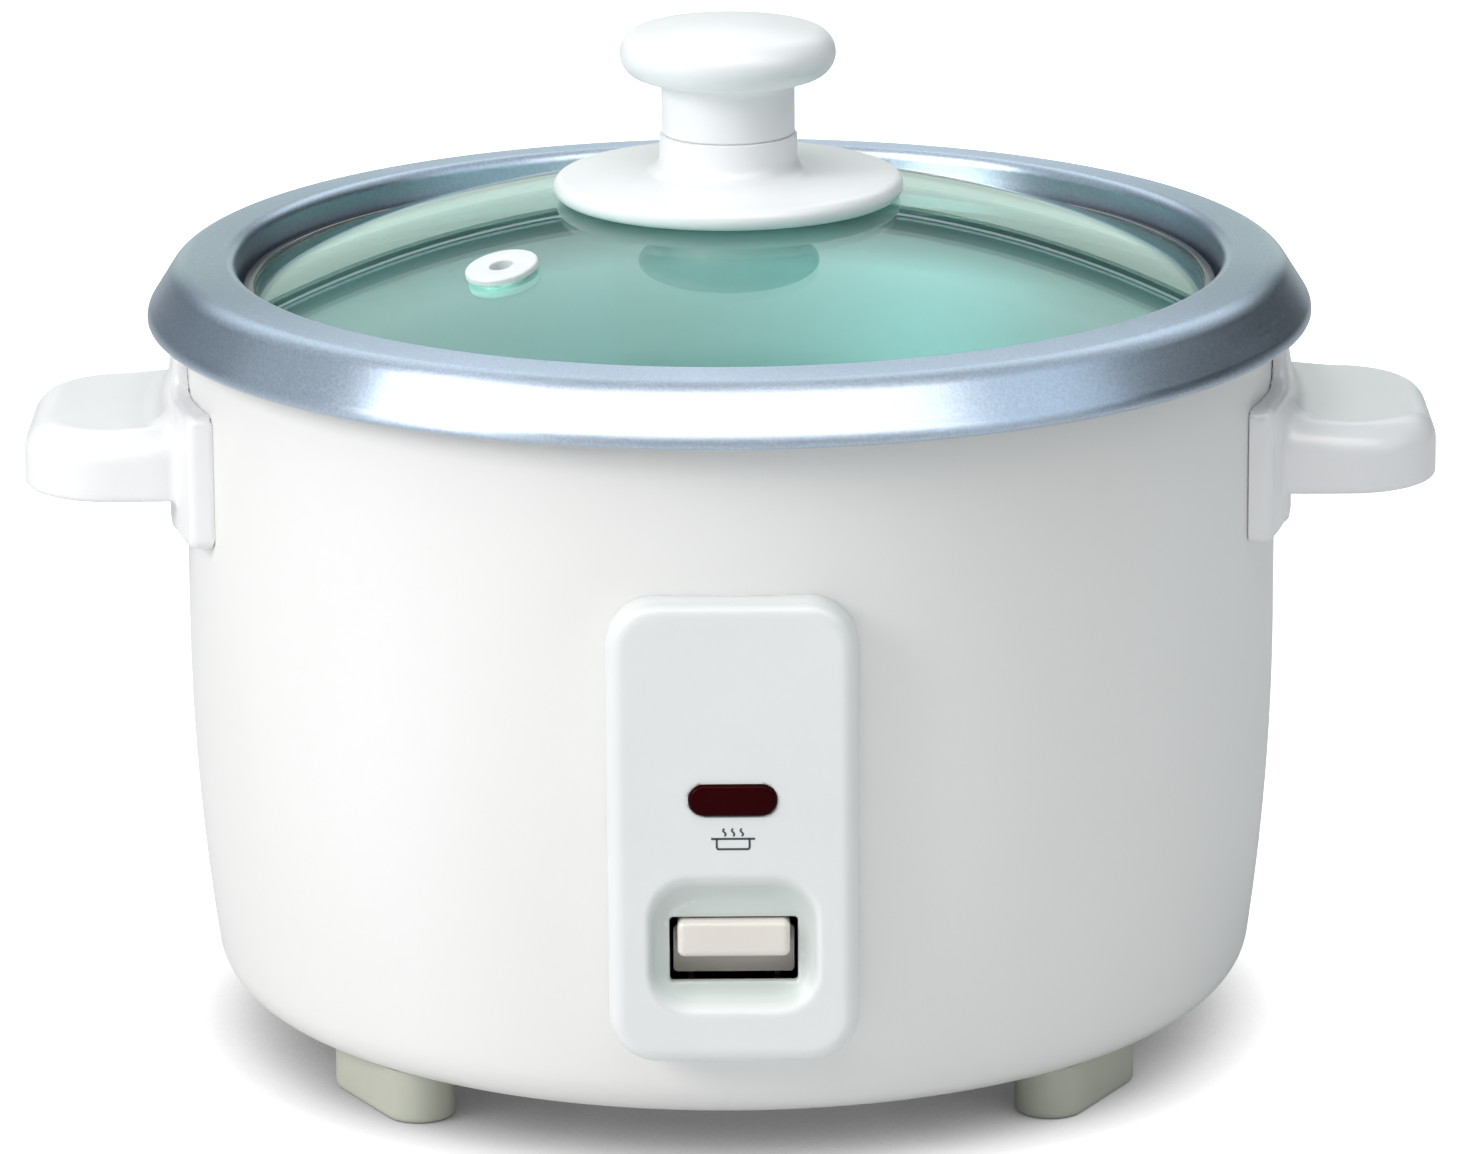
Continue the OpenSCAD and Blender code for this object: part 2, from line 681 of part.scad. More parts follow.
module switch_block() color("saddlebrown") difference() {
    translate([switch_x - 6, -pivot_y / 2 - 7, floor_z + sheet_t])
        cube([12, 14, leaf_high + leaf_t + 2.5 - floor_z - sheet_t]);
    for (z = [leaf_low, leaf_high])
        translate([switch_x - 20, -pivot_y / 2 - 2.5 - seat_gap, z - seat_gap])
            cube([24, 5 + 2 * seat_gap, leaf_t + 2 * seat_gap]);
}

module switch_leaves() color("goldenrod") for (z = [leaf_low, leaf_high]) {
    translate([-2, -pivot_y / 2 - 2.5, z]) cube([switch_x + 6, 5, leaf_t]);
    translate([3, -pivot_y / 2, z == leaf_low ? z + leaf_t - eps : z - 0.8])
        cylinder(r = 1.5, h = 0.8 + eps);
}

// ---------- Heater ----------

element_z = plate_low - 4;
ring_wall = 2.5;
cold_end_r = 1.6;
cold_end_l = 14;
leg_r = 4;
leg_foot_r = 7;
leg_tap = 11;

module leg_places() around([60, 180, 300]) translate([0, -leg_place, 0]) children();

module element_arc(r) rotate([0, 0, 110]) rotate_extrude(angle = 320)
    translate([element_ring, 0]) circle(r = r);
module element_ends() for (a = [110, 70]) rotate([0, 0, a]) translate([element_ring, 0, 0]) children();

module heating_plate() color("darkgray") difference() {
    union() {
        translate([0, 0, plate_low]) cylinder(r = plate_r, h = plate_t);
        translate([0, 0, carrier_top]) cylinder(r = hub_r, h = plate_low - carrier_top + eps);
        // Raised ring that the heating element is cast into
        translate([0, 0, element_z]) difference() {
            cylinder(r = element_ring + element_r + ring_wall, h = plate_low - element_z + eps);
            translate([0, 0, -1])
                cylinder(r = element_ring - element_r - ring_wall, h = plate_low - element_z + 2);
        }
    }
    translate([0, 0, carrier_top - 1]) cylinder(r = well_r, h = 40);
    translate([0, 0, element_z]) element_arc(element_r + seat_gap);
    // Pockets where the ends of the element come out
    translate([0, 0, element_z]) element_ends()
        translate([0, 0, -element_r - 2]) cylinder(r = element_r + 0.6, h = 2 * element_r + 2.6);
    carrier_screw_places() cylinder(r = screw_r + seat_gap, h = 7);
    // Shallow rings turned into the face that the pot stands on
    for (r = [0.43, 0.86] * plate_r) translate([0, 0, plate_top - 0.4]) difference() {
        cylinder(r = r + 0.8, h = 1);
        translate([0, 0, -1]) cylinder(r = r - 0.8, h = 3);
    }
}

// Sheathed ring with two cold ends that point down to the wiring
module heating_element() color("dimgray") translate([0, 0, element_z]) {
    element_arc(element_r);
    element_ends() {
        sphere(r = element_r);
        translate([0, 0, -cold_end_l]) cylinder(r = cold_end_r, h = cold_end_l);
    }
}

module plate_legs() color("lightgray") leg_places() difference() {
    union() {
        translate([0, 0, floor_z + sheet_t]) cylinder(r = leg_r, h = plate_low - floor_z - sheet_t);
        translate([0, 0, floor_z + sheet_t]) cylinder(r = leg_foot_r, h = 1.5);
    }
    cylinder(r = screw_r + seat_gap, h = floor_z + leg_tap + 3);
}

module leg_screws() color("gray") leg_places() translate([0, 0, floor_z])
    screw(screw_r, sheet_t + leg_tap, head_r, floor_z - base_z);

// ---------- Sensor ----------

module carrier_screw_places() around([45, 225])
    translate([0, -(well_r + hub_r) / 2, carrier_top]) children();

module sensor_carrier() color("silver") difference() {
    translate([0, 0, carrier_low]) cylinder(r = hub_r, h = carrier_top - carrier_low);
    translate([0, 0, carrier_low - 1]) cylinder(r = tube_r + slide_gap, h = 5);
    carrier_screw_places() cylinder(r = hole_r, h = 10, center = true);
}

module carrier_screws() color("gray") carrier_screw_places()
    translate([0, 0, carrier_low - carrier_top]) screw(screw_r, 7, head_r - 0.4);

// Cap that the pot presses down, with the tube that guides it
module sensor_cap() color("gainsboro") {
    translate([0, 0, cap_top - cap_t]) cylinder(r = cap_r, h = cap_t);
    difference() {
        translate([0, 0, tube_low]) cylinder(r = tube_r, h = cap_top - cap_t - tube_low + eps);
        translate([0, 0, tube_low - 1])
            cylinder(r = tube_r - tube_t, h = cap_top - cap_t - tube_low + 1);
    }
}

module ferrite_disc() color("dimgray") translate([0, 0, ferrite_low])
    cylinder(r = tube_r - tube_t - seat_gap, h = ferrite_h);

// Helix swept with a small round section
module helix(r, wire, z0, z1, turns) {
    sides = 8;
    per_turn = 14;
    n = turns * per_turn;
    rings = [for (i = [0 : n], k = [0 : sides - 1])
        let (a = 360 * i / per_turn, w = 360 * k / sides, q = r + wire * cos(w))
        [q * cos(a), q * sin(a), z0 + (z1 - z0) * i / n + wire * sin(w)]];
    faces = concat(
        [[for (k = [0 : sides - 1]) k]],
        [[for (k = [sides - 1 : -1 : 0]) n * sides + k]],
        [for (i = [0 : n - 1], k = [0 : sides - 1]) let (m = (k + 1) % sides)
            [i * sides + k, (i + 1) * sides + k, (i + 1) * sides + m, i * sides + m]]);
    polyhedron(points = rings, faces = faces);
}

module sensor_spring() color("silver") helix(spring_r, spring_wire,
    carrier_top + spring_wire + seat_gap, cap_top - cap_t - spring_wire - seat_gap, spring_turns);

module lever_magnet() color("slategray") translate([0, 0, magnet_low])
    cylinder(r = magnet_r, h = magnet_h);

// The rod's collar lies on the lever's fork, and a clip holds it below
module magnet_rod() color("silver") {
    translate([0, 0, strip_low - 3.6]) cylinder(r = rod_r, h = magnet_low - strip_low + 3.6);
    translate([0, 0, strip_top + fork_gap]) cylinder(r = rod_r + 1.4, h = 1.6);
    translate([0, 0, strip_low - 3.2]) cylinder(r = rod_r + 1.4, h = 1.2);
}

// ---------- Small parts under the plate ----------

module warm_thermostat() color("dimgray") translate([-33, 16, plate_low - 8]) {
    cylinder(r = 8, h = 8);
    for (y = [-4, 4]) translate([-1, y - 0.8, -6]) cube([2, 1.6, 6 + eps]);
}

fuse_r = 2;
fuse_place = [33, 16, plate_low - fuse_r - seat_gap];

module thermal_fuse() color("white") translate(fuse_place) rotate([90, 0, 0]) {
    cylinder(r = fuse_r, h = 18, center = true);
    cylinder(r = 0.6, h = 30, center = true);
}

module fuse_strap() color("silver") translate(fuse_place) rotate([90, 0, 0])
    linear_extrude(6, center = true) difference() {
        union() {
            circle(r = fuse_r + seat_gap + 0.8);
            translate([-8, fuse_r + seat_gap - 0.8]) square([16, 0.8]);
        }
        circle(r = fuse_r + seat_gap);
        translate([-9, fuse_r + seat_gap]) square([18, 9]);
        translate([-fuse_r - seat_gap, 0]) square([2 * (fuse_r + seat_gap), 9]);
    }

// ---------- Inlet ----------

prongs = [[-socket_w / 4, 2, 0], [socket_w / 4, 2, 0], [0, -4, 0]];
prong_r = 2;
prong_l = 9;
tab_l = 7;
inlet_tap = 12;

module inlet_screw_places() for (x = [-1, 1])
    translate([x * (socket_w / 2 + 8), inlet_face, socket_z])
        rotate([-90, 0, 0]) children();

// Sets its children up on the XZ plane, so that their +Z points to +Y
module face_back(y) { translate([0, y, socket_z]) rotate([-90, 0, 0]) children(); }

module power_inlet() color("black") difference() {
    union() {
        difference() {
            face_back(inlet_face - 12) linear_extrude(12)
                round_rect(socket_w + 26, socket_h + 14, 6);
            drum_space(seat_gap);
        }
        face_back(inlet_back) linear_extrude(inlet_face - inlet_back)
            round_rect(socket_w + 2 * socket_wall, socket_h + 2 * socket_wall, 3);
    }
    face_back(inlet_back + socket_wall) linear_extrude(socket_d + 1) round_rect(socket_w, socket_h, 2);
    for (p = prongs) face_back(inlet_back - 1) translate(p)
        cylinder(r = prong_r + seat_gap, h = socket_wall + 4);
    inlet_screw_places() cylinder(r = hole_r, h = 40, center = true);
}

// Line, neutral and earth pins, with their tabs inside the body
module inlet_pins() color("goldenrod") for (p = prongs)
    face_back(inlet_back - tab_l) translate(p) {
        translate([-0.4, -1.5, 0]) cube([0.8, 3, tab_l]);
        translate([0, 0, tab_l - 2]) cylinder(r = prong_r, h = prong_l - prong_r + 2);
        translate([0, 0, tab_l + prong_l - prong_r]) sphere(r = prong_r);
    }

module inlet_screws() color("gray") inlet_screw_places()
    mirror([0, 0, 1]) screw(screw_r, inlet_tap);

// ---------- Pot ----------

skirt_angle = atan2(rim_out - rim_turn, skirt_h);
rim_bend = 3;
hem_r = 1.7;

function pot_path() = concat(
    [[0, pot_floor]],
    arc(pot_r - pot_corner, pot_floor + pot_corner, pot_corner, -90, 0, 10),
    arc(pot_r + 1.6, ledge_z - 1.6, 1.6, 180, 90, 5),
    arc(rim_in - 1.4, ledge_z + 1.4, 1.4, -90, 0, 5),
    arc(rim_in + 2, crest_z - 2, 2, 180, 90, 6),
    arc(rim_turn - 0.8, crest_z - rim_bend, rim_bend, 90, skirt_angle, 6),
    arc(rim_out - hem_r, crest_z - skirt_h, hem_r, skirt_angle, -120, 8));

module inner_pot() color("silver") rotate_extrude($fn = 144) polygon(sheet(pot_path(), -pot_t));

// ---------- Lid ----------

// Arc of a dome that shares the glass's centre, from radius a to radius b
function dome_arc(r, a, b, n = 16) = arc(0, dome_z, r, acos(a / r), acos(b / r), n);

module lid_glass() color("lightcyan", 0.5) difference() {
    rotate_extrude($fn = 144) polygon(concat(
        dome_arc(dome_r, glass_hole_r, glass_edge),
        reversed(dome_arc(dome_r - glass_t, glass_hole_r, glass_edge))));
    vent_place() cylinder(r = vent_r - 2, h = 20, center = true);
}

module lid_band() color("silver") rotate_extrude($fn = 144) polygon(concat(
    [[lip_in, band_top - band_t], [lip_in, band_top - 0.2], [lip_in + 0.4, band_top]],
    arc(band_r - 1.4, band_top - 1.4, 1.4, 90, 0, 5),
    arc(band_r - 0.8, ledge_z + 0.8, 0.8, 0, -90, 4),
    [[lip_in, ledge_z], [lip_in, ledge_z + band_t],
     [band_r - band_t, ledge_z + band_t],
     [band_r - band_t, dome_at(band_r - band_t) + seat_gap]]));

// Puts its children at the vent, with +Z along the glass's normal and z = 0 on its outer face
module vent_place() rotate([0, 0, vent_angle]) translate([0, 0, dome_z])
    rotate([asin(vent_place / dome_r), 0, 0]) translate([0, 0, dome_r]) children();

module vent_grommet() color("white") vent_place() {
    sag = vent_r * vent_r / (2 * (dome_r - glass_t)) + seat_gap;
    rotate_extrude() polygon(concat(
        [[vent_hole_r, -glass_t - sag - 1], [vent_hole_r, 0.9]],
        [[vent_hole_r + 0.9, 1.8]],
        arc(vent_r - 1, 0.8, 1, 90, 0, 4),
        [[vent_r, seat_gap], [vent_r - 2 - seat_gap, seat_gap],
         [vent_r - 2 - seat_gap, -glass_t - sag], [vent_r - 1, -glass_t - sag],
         [vent_r - 1, -glass_t - sag - 1]]));
}

// Wide base, hollow underneath round a boss for the screw
module knob_base() color("white") rotate_extrude() polygon(concat(
    [[bore_r, base_top], [bore_r, dome_at(0) + seat_gap], [8, dome_at(0) + seat_gap],
     [8, base_top - 7], [neck_r - 2, base_top - 7], [neck_r + 2, base_low + 2.8],
     [base_disc_r - 4, base_low + 1.6], [base_disc_r - 4, base_low + 0.4]],
    [[base_disc_r - base_edge, base_low]],
    arc(base_disc_r - base_edge, base_low + base_edge, base_edge, -90, 80, 8),
    arc(neck_r + 0.5 + 3.4, base_low + base_edge + 6.4, 3.4, 265, 180, 6),
    [[neck_r, base_top]]));

module knob() color("white") rotate_extrude() polygon(concat(
    [[0, knob_low + 14], [bore_r, knob_low + 14], [bore_r, knob_low], [neck_r, knob_low]],
    arc(neck_r + 3.2, knob_top - 2 - 2 * grip_edge - 2.8, 3.2, 180, 95, 6),
    arc(grip_r - grip_edge, knob_top - 2 - grip_edge, grip_edge, -90, 76, 12),
    [for (i = [4 : -1 : 0]) let (r = (grip_r - grip_edge) * i / 5)
        [r, knob_top - 2 * pow(r / (grip_r - grip_edge), 2)]]));

module lid_washer() color("gainsboro") difference() {
    low = dome_z + sqrt(pow(dome_r - glass_t, 2) - 144) - seat_gap;
    translate([0, 0, low - 1.2]) cylinder(r = 12, h = 1.2);
    translate([0, 0, low - 2]) cylinder(r = bore_r, h = 4);
}

module lid_screw() color("silver")
    translate([0, 0, dome_z + sqrt(pow(dome_r - glass_t, 2) - 144) - seat_gap - 1.2])
        screw(2, knob_low + 12 - dome_z - dome_r + glass_t, 4.5, 2.2);

outer_body();
heat_shield();
base_plate();
feet();
foot_screws();
base_screws();
left_handle();
right_handle();
handle_screws();
control_panel();
indicator_lens();
indicator_lamp();
panel_screws();
lever_paddle();
lever_arm();
lever_bracket();
pivot_pin();
switch_block();
switch_leaves();
heating_plate();
heating_element();
plate_legs();
leg_screws();
sensor_carrier();
carrier_screws();
sensor_cap();
ferrite_disc();
sensor_spring();
lever_magnet();
magnet_rod();
warm_thermostat();
thermal_fuse();
fuse_strap();
power_inlet();
inlet_pins();
inlet_screws();
inner_pot();
lid_glass();
lid_band();
vent_grommet();
knob_base();
knob();
lid_screw();
lid_washer();
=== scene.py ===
"""Drum rice cooker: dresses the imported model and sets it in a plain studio."""

import logging
import math
from dataclasses import dataclass, field
from enum import Enum
from typing import Callable

import bmesh
import bpy
import numpy as np
from mathutils import Matrix, Quaternion, Vector


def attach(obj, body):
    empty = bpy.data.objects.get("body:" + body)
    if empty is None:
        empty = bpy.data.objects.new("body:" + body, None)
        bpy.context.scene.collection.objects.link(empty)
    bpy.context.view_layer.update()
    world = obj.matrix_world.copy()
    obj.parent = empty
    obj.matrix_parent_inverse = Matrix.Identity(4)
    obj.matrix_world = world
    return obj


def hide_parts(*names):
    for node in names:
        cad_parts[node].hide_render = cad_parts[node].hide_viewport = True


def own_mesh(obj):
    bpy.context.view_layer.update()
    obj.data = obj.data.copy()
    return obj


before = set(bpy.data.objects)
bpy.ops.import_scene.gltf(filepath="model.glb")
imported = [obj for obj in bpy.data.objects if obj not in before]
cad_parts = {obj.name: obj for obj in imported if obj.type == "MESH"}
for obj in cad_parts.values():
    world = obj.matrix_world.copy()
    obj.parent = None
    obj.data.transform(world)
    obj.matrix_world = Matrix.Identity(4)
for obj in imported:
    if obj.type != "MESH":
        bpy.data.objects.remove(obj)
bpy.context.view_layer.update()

LOG = logging.getLogger("rice_cooker")
MM = 0.001
AXIS_EPS = 1e-6
DRUM_R = 112.8
BOW_START = 87.0
BOW_R = 495.0
POT_LEDGE = 151.9
CREASE = 40.0
CARVED_CREASE = 50.0
CAD_CREASE = 35.0
CARVE_PASSES = 4
Point = tuple[float, float]
Color = tuple[float, float, float]


# ---------- Shader kit ----------


class Signal:
    """A value in a shader. Python maths on it adds the Math nodes that work it out."""

    def __init__(self, graph: "Graph", socket: bpy.types.NodeSocket) -> None:
        """Wraps an output socket.

        Args:
            graph: the node tree that the socket is in.
            socket: the output that carries the value.
        """
        self.graph = graph
        self.socket = socket

    def _math(self, operation: str, *values: "Signal | float", clamp: bool = False) -> "Signal":
        """One Math node.

        Args:
            operation: the node's operation.
            values: what goes into its sockets, in order.
            clamp: whether the result is held between 0 and 1.

        Returns:
            The node's result.
        """
        made = self.graph.node("Math", {"operation": operation, "use_clamp": clamp},
                               dict(enumerate(values)))
        return Signal(self.graph, made.outputs[0])

    def __add__(self, other: "Signal | float") -> "Signal":
        """The sum."""
        return self._math("ADD", self, other)

    __radd__ = __add__

    def __sub__(self, other: "Signal | float") -> "Signal":
        """The difference."""
        return self._math("SUBTRACT", self, other)

    def __rsub__(self, other: "Signal | float") -> "Signal":
        """The difference, reflected."""
        return self._math("SUBTRACT", other, self)

    def __mul__(self, other: "Signal | float") -> "Signal":
        """The product."""
        return self._math("MULTIPLY", self, other)

    __rmul__ = __mul__

    def __pow__(self, other: "Signal | float") -> "Signal":
        """The power."""
        return self._math("POWER", self, other)

    def __rpow__(self, other: "Signal | float") -> "Signal":
        """The power, reflected."""
        return self._math("POWER", other, self)

    def angle_to(self, other: "Signal") -> "Signal":
        """The angle of the direction whose sine side is this value and cosine side the other."""
        return self._math("ARCTAN2", self, other)

    def unit(self) -> "Signal":
        """This value held between 0 and 1."""
        return self._math("ADD", self, 0.0, clamp=True)

    def above(self, low: float, high: float) -> "Signal":
        """A soft step.

        Args:
            low: the value at which the step begins.
            high: the value at which it is full.

        Returns:
            0 under low, 1 over high, and a straight ramp between them.
        """
        return ((self - low) * (1.0 / (high - low))).unit()

    def within(self, low: float, high: float, fade: float) -> "Signal":
        """1 from low to high and 0 outside, with a ramp of length fade inside each end."""
        return self.above(low, low + fade) * (1.0 - self.above(high - fade, high))


class Graph:
    """A node tree that is built by calls."""

    def __init__(self, tree: bpy.types.NodeTree) -> None:
        """Empties the tree.

        Args:
            tree: the tree of a material or of the world.
        """
        self.tree = tree
        tree.nodes.clear()

    def node(self, kind: str, settings: dict | None = None,
             sockets: dict | None = None) -> bpy.types.Node:
        """Adds one node.

        Args:
            kind: the node's type, without its ShaderNode prefix.
            settings: its properties, which are set first.
            sockets: values, links or shader nodes for its inputs, by name or number.

        Returns:
            The node.
        """
        made = self.tree.nodes.new("ShaderNode" + kind)
        for key, value in (settings or {}).items():
            setattr(made, key, value)
        for key, value in (sockets or {}).items():
            if isinstance(value, Signal):
                self.tree.links.new(value.socket, made.inputs[key])
            elif isinstance(value, bpy.types.Node):
                self.tree.links.new(value.outputs[0], made.inputs[key])
            else:
                made.inputs[key].default_value = value
        return made

    def out(self, node: bpy.types.Node, name: str | int = 0) -> Signal:
        """One output of a node, as a value."""
        return Signal(self, node.outputs[name])

    def place(self) -> Signal:
        """The point on the surface, in metres, as it is at rest."""
        return self.out(self.node("TexCoord"), "Object")

    def parts(self, vector: Signal) -> tuple[Signal, Signal, Signal]:
        """The three numbers of a vector."""
        split = self.node("SeparateXYZ", sockets={0: vector})
        return self.out(split, 0), self.out(split, 1), self.out(split, 2)

    def vector(self, x: Signal | float, y: Signal | float, z: Signal | float) -> Signal:
        """A vector of three numbers."""
        return self.out(self.node("CombineXYZ", sockets={0: x, 1: y, 2: z}))

    def noise(self, vector: Signal, scale: float, detail: float = 2.0,
              rough: float = 0.5) -> Signal:
        """Smooth noise.

        Args:
            vector: where it is read.
            scale: its waves to the metre.
            detail: how many finer layers it has.
            rough: how strong the finer layers are.

        Returns:
            A value about 0.5.
        """
        return self.out(self.node("TexNoise", sockets={
            "Vector": vector, "Scale": scale, "Detail": detail, "Roughness": rough}))

    def mixed(self, share: Signal | float, first: Signal | Color, second: Signal | Color) -> Signal:
        """Two colours mixed.

        Args:
            share: the share of the second colour.
            first: the first colour.
            second: the second colour.

        Returns:
            The mixed colour.
        """
        def full(color: Signal | Color) -> Signal | tuple:
            """A colour with its alpha, or a link as it is."""
            return color if isinstance(color, Signal) else (*color, 1.0)
        made = self.node("Mix", {"data_type": "RGBA"}, {0: share, 6: full(first), 7: full(second)})
        return self.out(made, 2)

    def bump(self, height: Signal, depth: float, under: Signal | None = None) -> Signal:
        """A normal that follows a height.

        Args:
            height: the height, from 0 to 1.
            depth: what a height of 1 stands for, in metres.
            under: a bumped normal that this one lies over.

        Returns:
            The bumped normal.
        """
        sockets = {"Distance": depth, "Height": height}
        if under is not None:
            sockets["Normal"] = under
        return self.out(self.node("Bump", sockets=sockets))

    def merged(self, share: Signal, first: bpy.types.Node,
               second: bpy.types.Node) -> bpy.types.Node:
        """Two shaders mixed, by the share of the second one."""
        return self.node("MixShader", sockets={0: share, 1: first, 2: second})

    def surface(self, shader: bpy.types.Node) -> None:
        """Makes a shader the tree's surface."""
        kind = "OutputWorld" if self.tree.id_data == bpy.context.scene.world else "OutputMaterial"
        self.node(kind, sockets={"Surface": shader})


def new_material(name: str) -> tuple[bpy.types.Material, Graph]:
    """An empty material that uses nodes, and its tree."""
    made = bpy.data.materials.new(name)
    made.use_nodes = True
    return made, Graph(made.node_tree)


def toned(color: Color, factor: float, lift: float = 0.0) -> Color:
    """A colour times a factor, plus a lift, held to 1."""
    return tuple(min(1.0, value * factor + lift) for value in color)


# ---------- Finishes: lengths in metres, scales in waves to the metre ----------


@dataclass(frozen=True)
class Recess:
    """A recess in a moulding's front, where painted shade darkens its tone with depth."""

    half: float
    low: float
    high: float
    mouth: float
    deep: float
    fade: float = 0.003
    # The darker colour painted into the recess as shade.
    recess_shade: Color = (0.62, 0.67, 0.64)

    def depth(self, graph: Graph, place: Signal) -> Signal:
        """How deep a point is in the recess, from 0 to 1."""
        x, y, z = graph.parts(place)
        return (x.within(-self.half, self.half, self.half * 0.1)
                * z.within(self.low, self.high, self.fade) * y.above(self.mouth, self.deep))


@dataclass(frozen=True)
class Moulding:
    """Moulded plastic or rubber with a faint cloud in its colour and a fine skin."""

    name: str
    color: Color
    roughness: float
    cloud: float = 0.03
    cloud_scale: float = 28.0
    skin_scale: float = 900.0
    skin_depth: float = 0.00001
    coat: float = 0.0
    scuff: float = 0.02
    scuff_scale: float = 160.0
    wear: float = 0.35
    specular: float = 0.5
    recess: Recess | None = None

    def material(self) -> bpy.types.Material:
        """Builds the finish.

        Returns:
            The material.
        """
        made, graph = new_material(self.name)
        place = graph.place()
        cloud = graph.noise(place, self.cloud_scale, 3.0)
        skin = graph.noise(place, self.skin_scale)
        marks = graph.noise(place, self.scuff_scale, 5.0, 0.7).above(0.58, 0.72)
        edge = graph.out(graph.node("NewGeometry"), "Pointiness").above(0.53, 0.62)
        tone = graph.mixed(cloud.above(0.3, 0.7), toned(self.color, 1.0 - 2.2 * self.cloud),
                           toned(self.color, 1.0 + self.cloud))
        # Painted shade: the tone goes towards the recess's darker colour with depth in the recess.
        if self.recess:
            painted_shade = self.recess.depth(graph, place) * (cloud * 0.2 + 0.9).unit()
            tone = graph.mixed(painted_shade, tone, self.recess.recess_shade)
        graph.surface(graph.node("BsdfPrincipled", sockets={
            "Base Color": graph.mixed(edge * self.wear, tone, toned(self.color, 0.92, 0.06)),
            "Roughness": (cloud - 0.5) * 0.08 + marks * self.scuff + self.roughness,
            "Specular IOR Level": self.specular,
            "Coat Weight": self.coat, "Coat Roughness": 0.06,
            "Normal": graph.bump(skin + cloud * 0.5, self.skin_depth)}))
        return made


@dataclass(frozen=True)
class Enamel:
    """Baked enamel on sheet: a slow wave, a fine orange peel, a few matt wipes and a tone that goes
    darker towards the bottom.
    """

    name: str
    color: Color
    roughness: float
    warmth: Color = (0.972, 0.968, 0.955)
    peel_scale: float = 420.0
    peel_depth: float = 0.000012
    # How high the darkening at the bottom reaches, and how strong it is.
    bottom_darkening_height: float = 0.03
    bottom_darkening: float = 0.25

    def material(self) -> bpy.types.Material:
        """Builds the finish.

        Returns:
            The material.
        """
        made, graph = new_material(self.name)
        place = graph.place()
        across, along, up = graph.parts(place)
        slow = graph.noise(graph.vector(across, along, up * 0.6), 9.0)
        peel = graph.noise(place, self.peel_scale)
        wipes = graph.noise(graph.vector(across, along, up * 6.0), 14.0, 4.0, 0.6).above(0.5, 0.75)
        # Darker towards the bottom: the tone mixes towards a darker one over the lowest three
        # centimetres.
        low = (up * (-1.0 / self.bottom_darkening_height) + 0.9).unit()
        warm = tuple(value * share for value, share in zip(self.color, self.warmth))
        tone = graph.mixed(slow.above(0.35, 0.65), warm, toned(self.color, 1.012))
        graph.surface(graph.node("BsdfPrincipled", sockets={
            "Base Color": graph.mixed(low * self.bottom_darkening, tone, toned(self.color, 0.86)),
            "Roughness": slow * 0.05 + wipes * 0.07 + self.roughness,
            "Coat Weight": 0.25, "Coat Roughness": 0.12,
            "Normal": graph.bump(peel + slow * 3.0, self.peel_depth)}))
        return made


class Lay(Enum):
    """The way that the brush lines of a metal run."""

    ROUND = "round the part's own axis"
    ALONG = "front to back"
    CAST = "nowhere, as on a casting"


@dataclass(frozen=True)
class Lining:
    """The matt tone on the inner face of a pot, from its floor up to its ledge, with painted shade
    that darkens it towards the ledge and over it.
    """

    wall_r: float
    corner: float
    floor: float
    color: Color
    # The dark colour painted as shade on the inner face towards the ledge.
    ledge_shade: Color
    roughness: float
    # Heights where the painted shade begins and where it is full.
    ledge_shade_from: float = 0.139
    ledge_shade_full: float = 0.149
    edge: float = 0.0006
    ledge_edge: float = 0.0036

    def share(self, reach: Signal, up: Signal) -> Signal:
        """Whether a point is on the inner face.

        Args:
            reach: the point's distance from the axis.
            up: its height.

        Returns:
            1 on the inner face and above it, 0 on the outer one.
        """
        out = (reach - (self.wall_r - self.corner)).unit()
        down = (self.floor + self.corner - up).unit()
        deep = (out ** 2.0 + down ** 2.0) ** 0.5 - self.corner
        # Above the painted shade's full height the inner face reaches out over the ledge, so the
        # shade covers it too.
        limit = (up.above(self.ledge_shade_full, self.ledge_shade_full + 0.001)
                 * (self.ledge_edge - self.edge) + self.edge)
        return 1.0 - ((deep - limit) * 3000.0 + 0.5).unit()

    def tone(self, graph: Graph, up: Signal) -> Signal:
        """The colour at a height, with painted shade that darkens it towards the ledge."""
        return graph.mixed(up.above(self.ledge_shade_from, self.ledge_shade_full), self.color, self.ledge_shade)


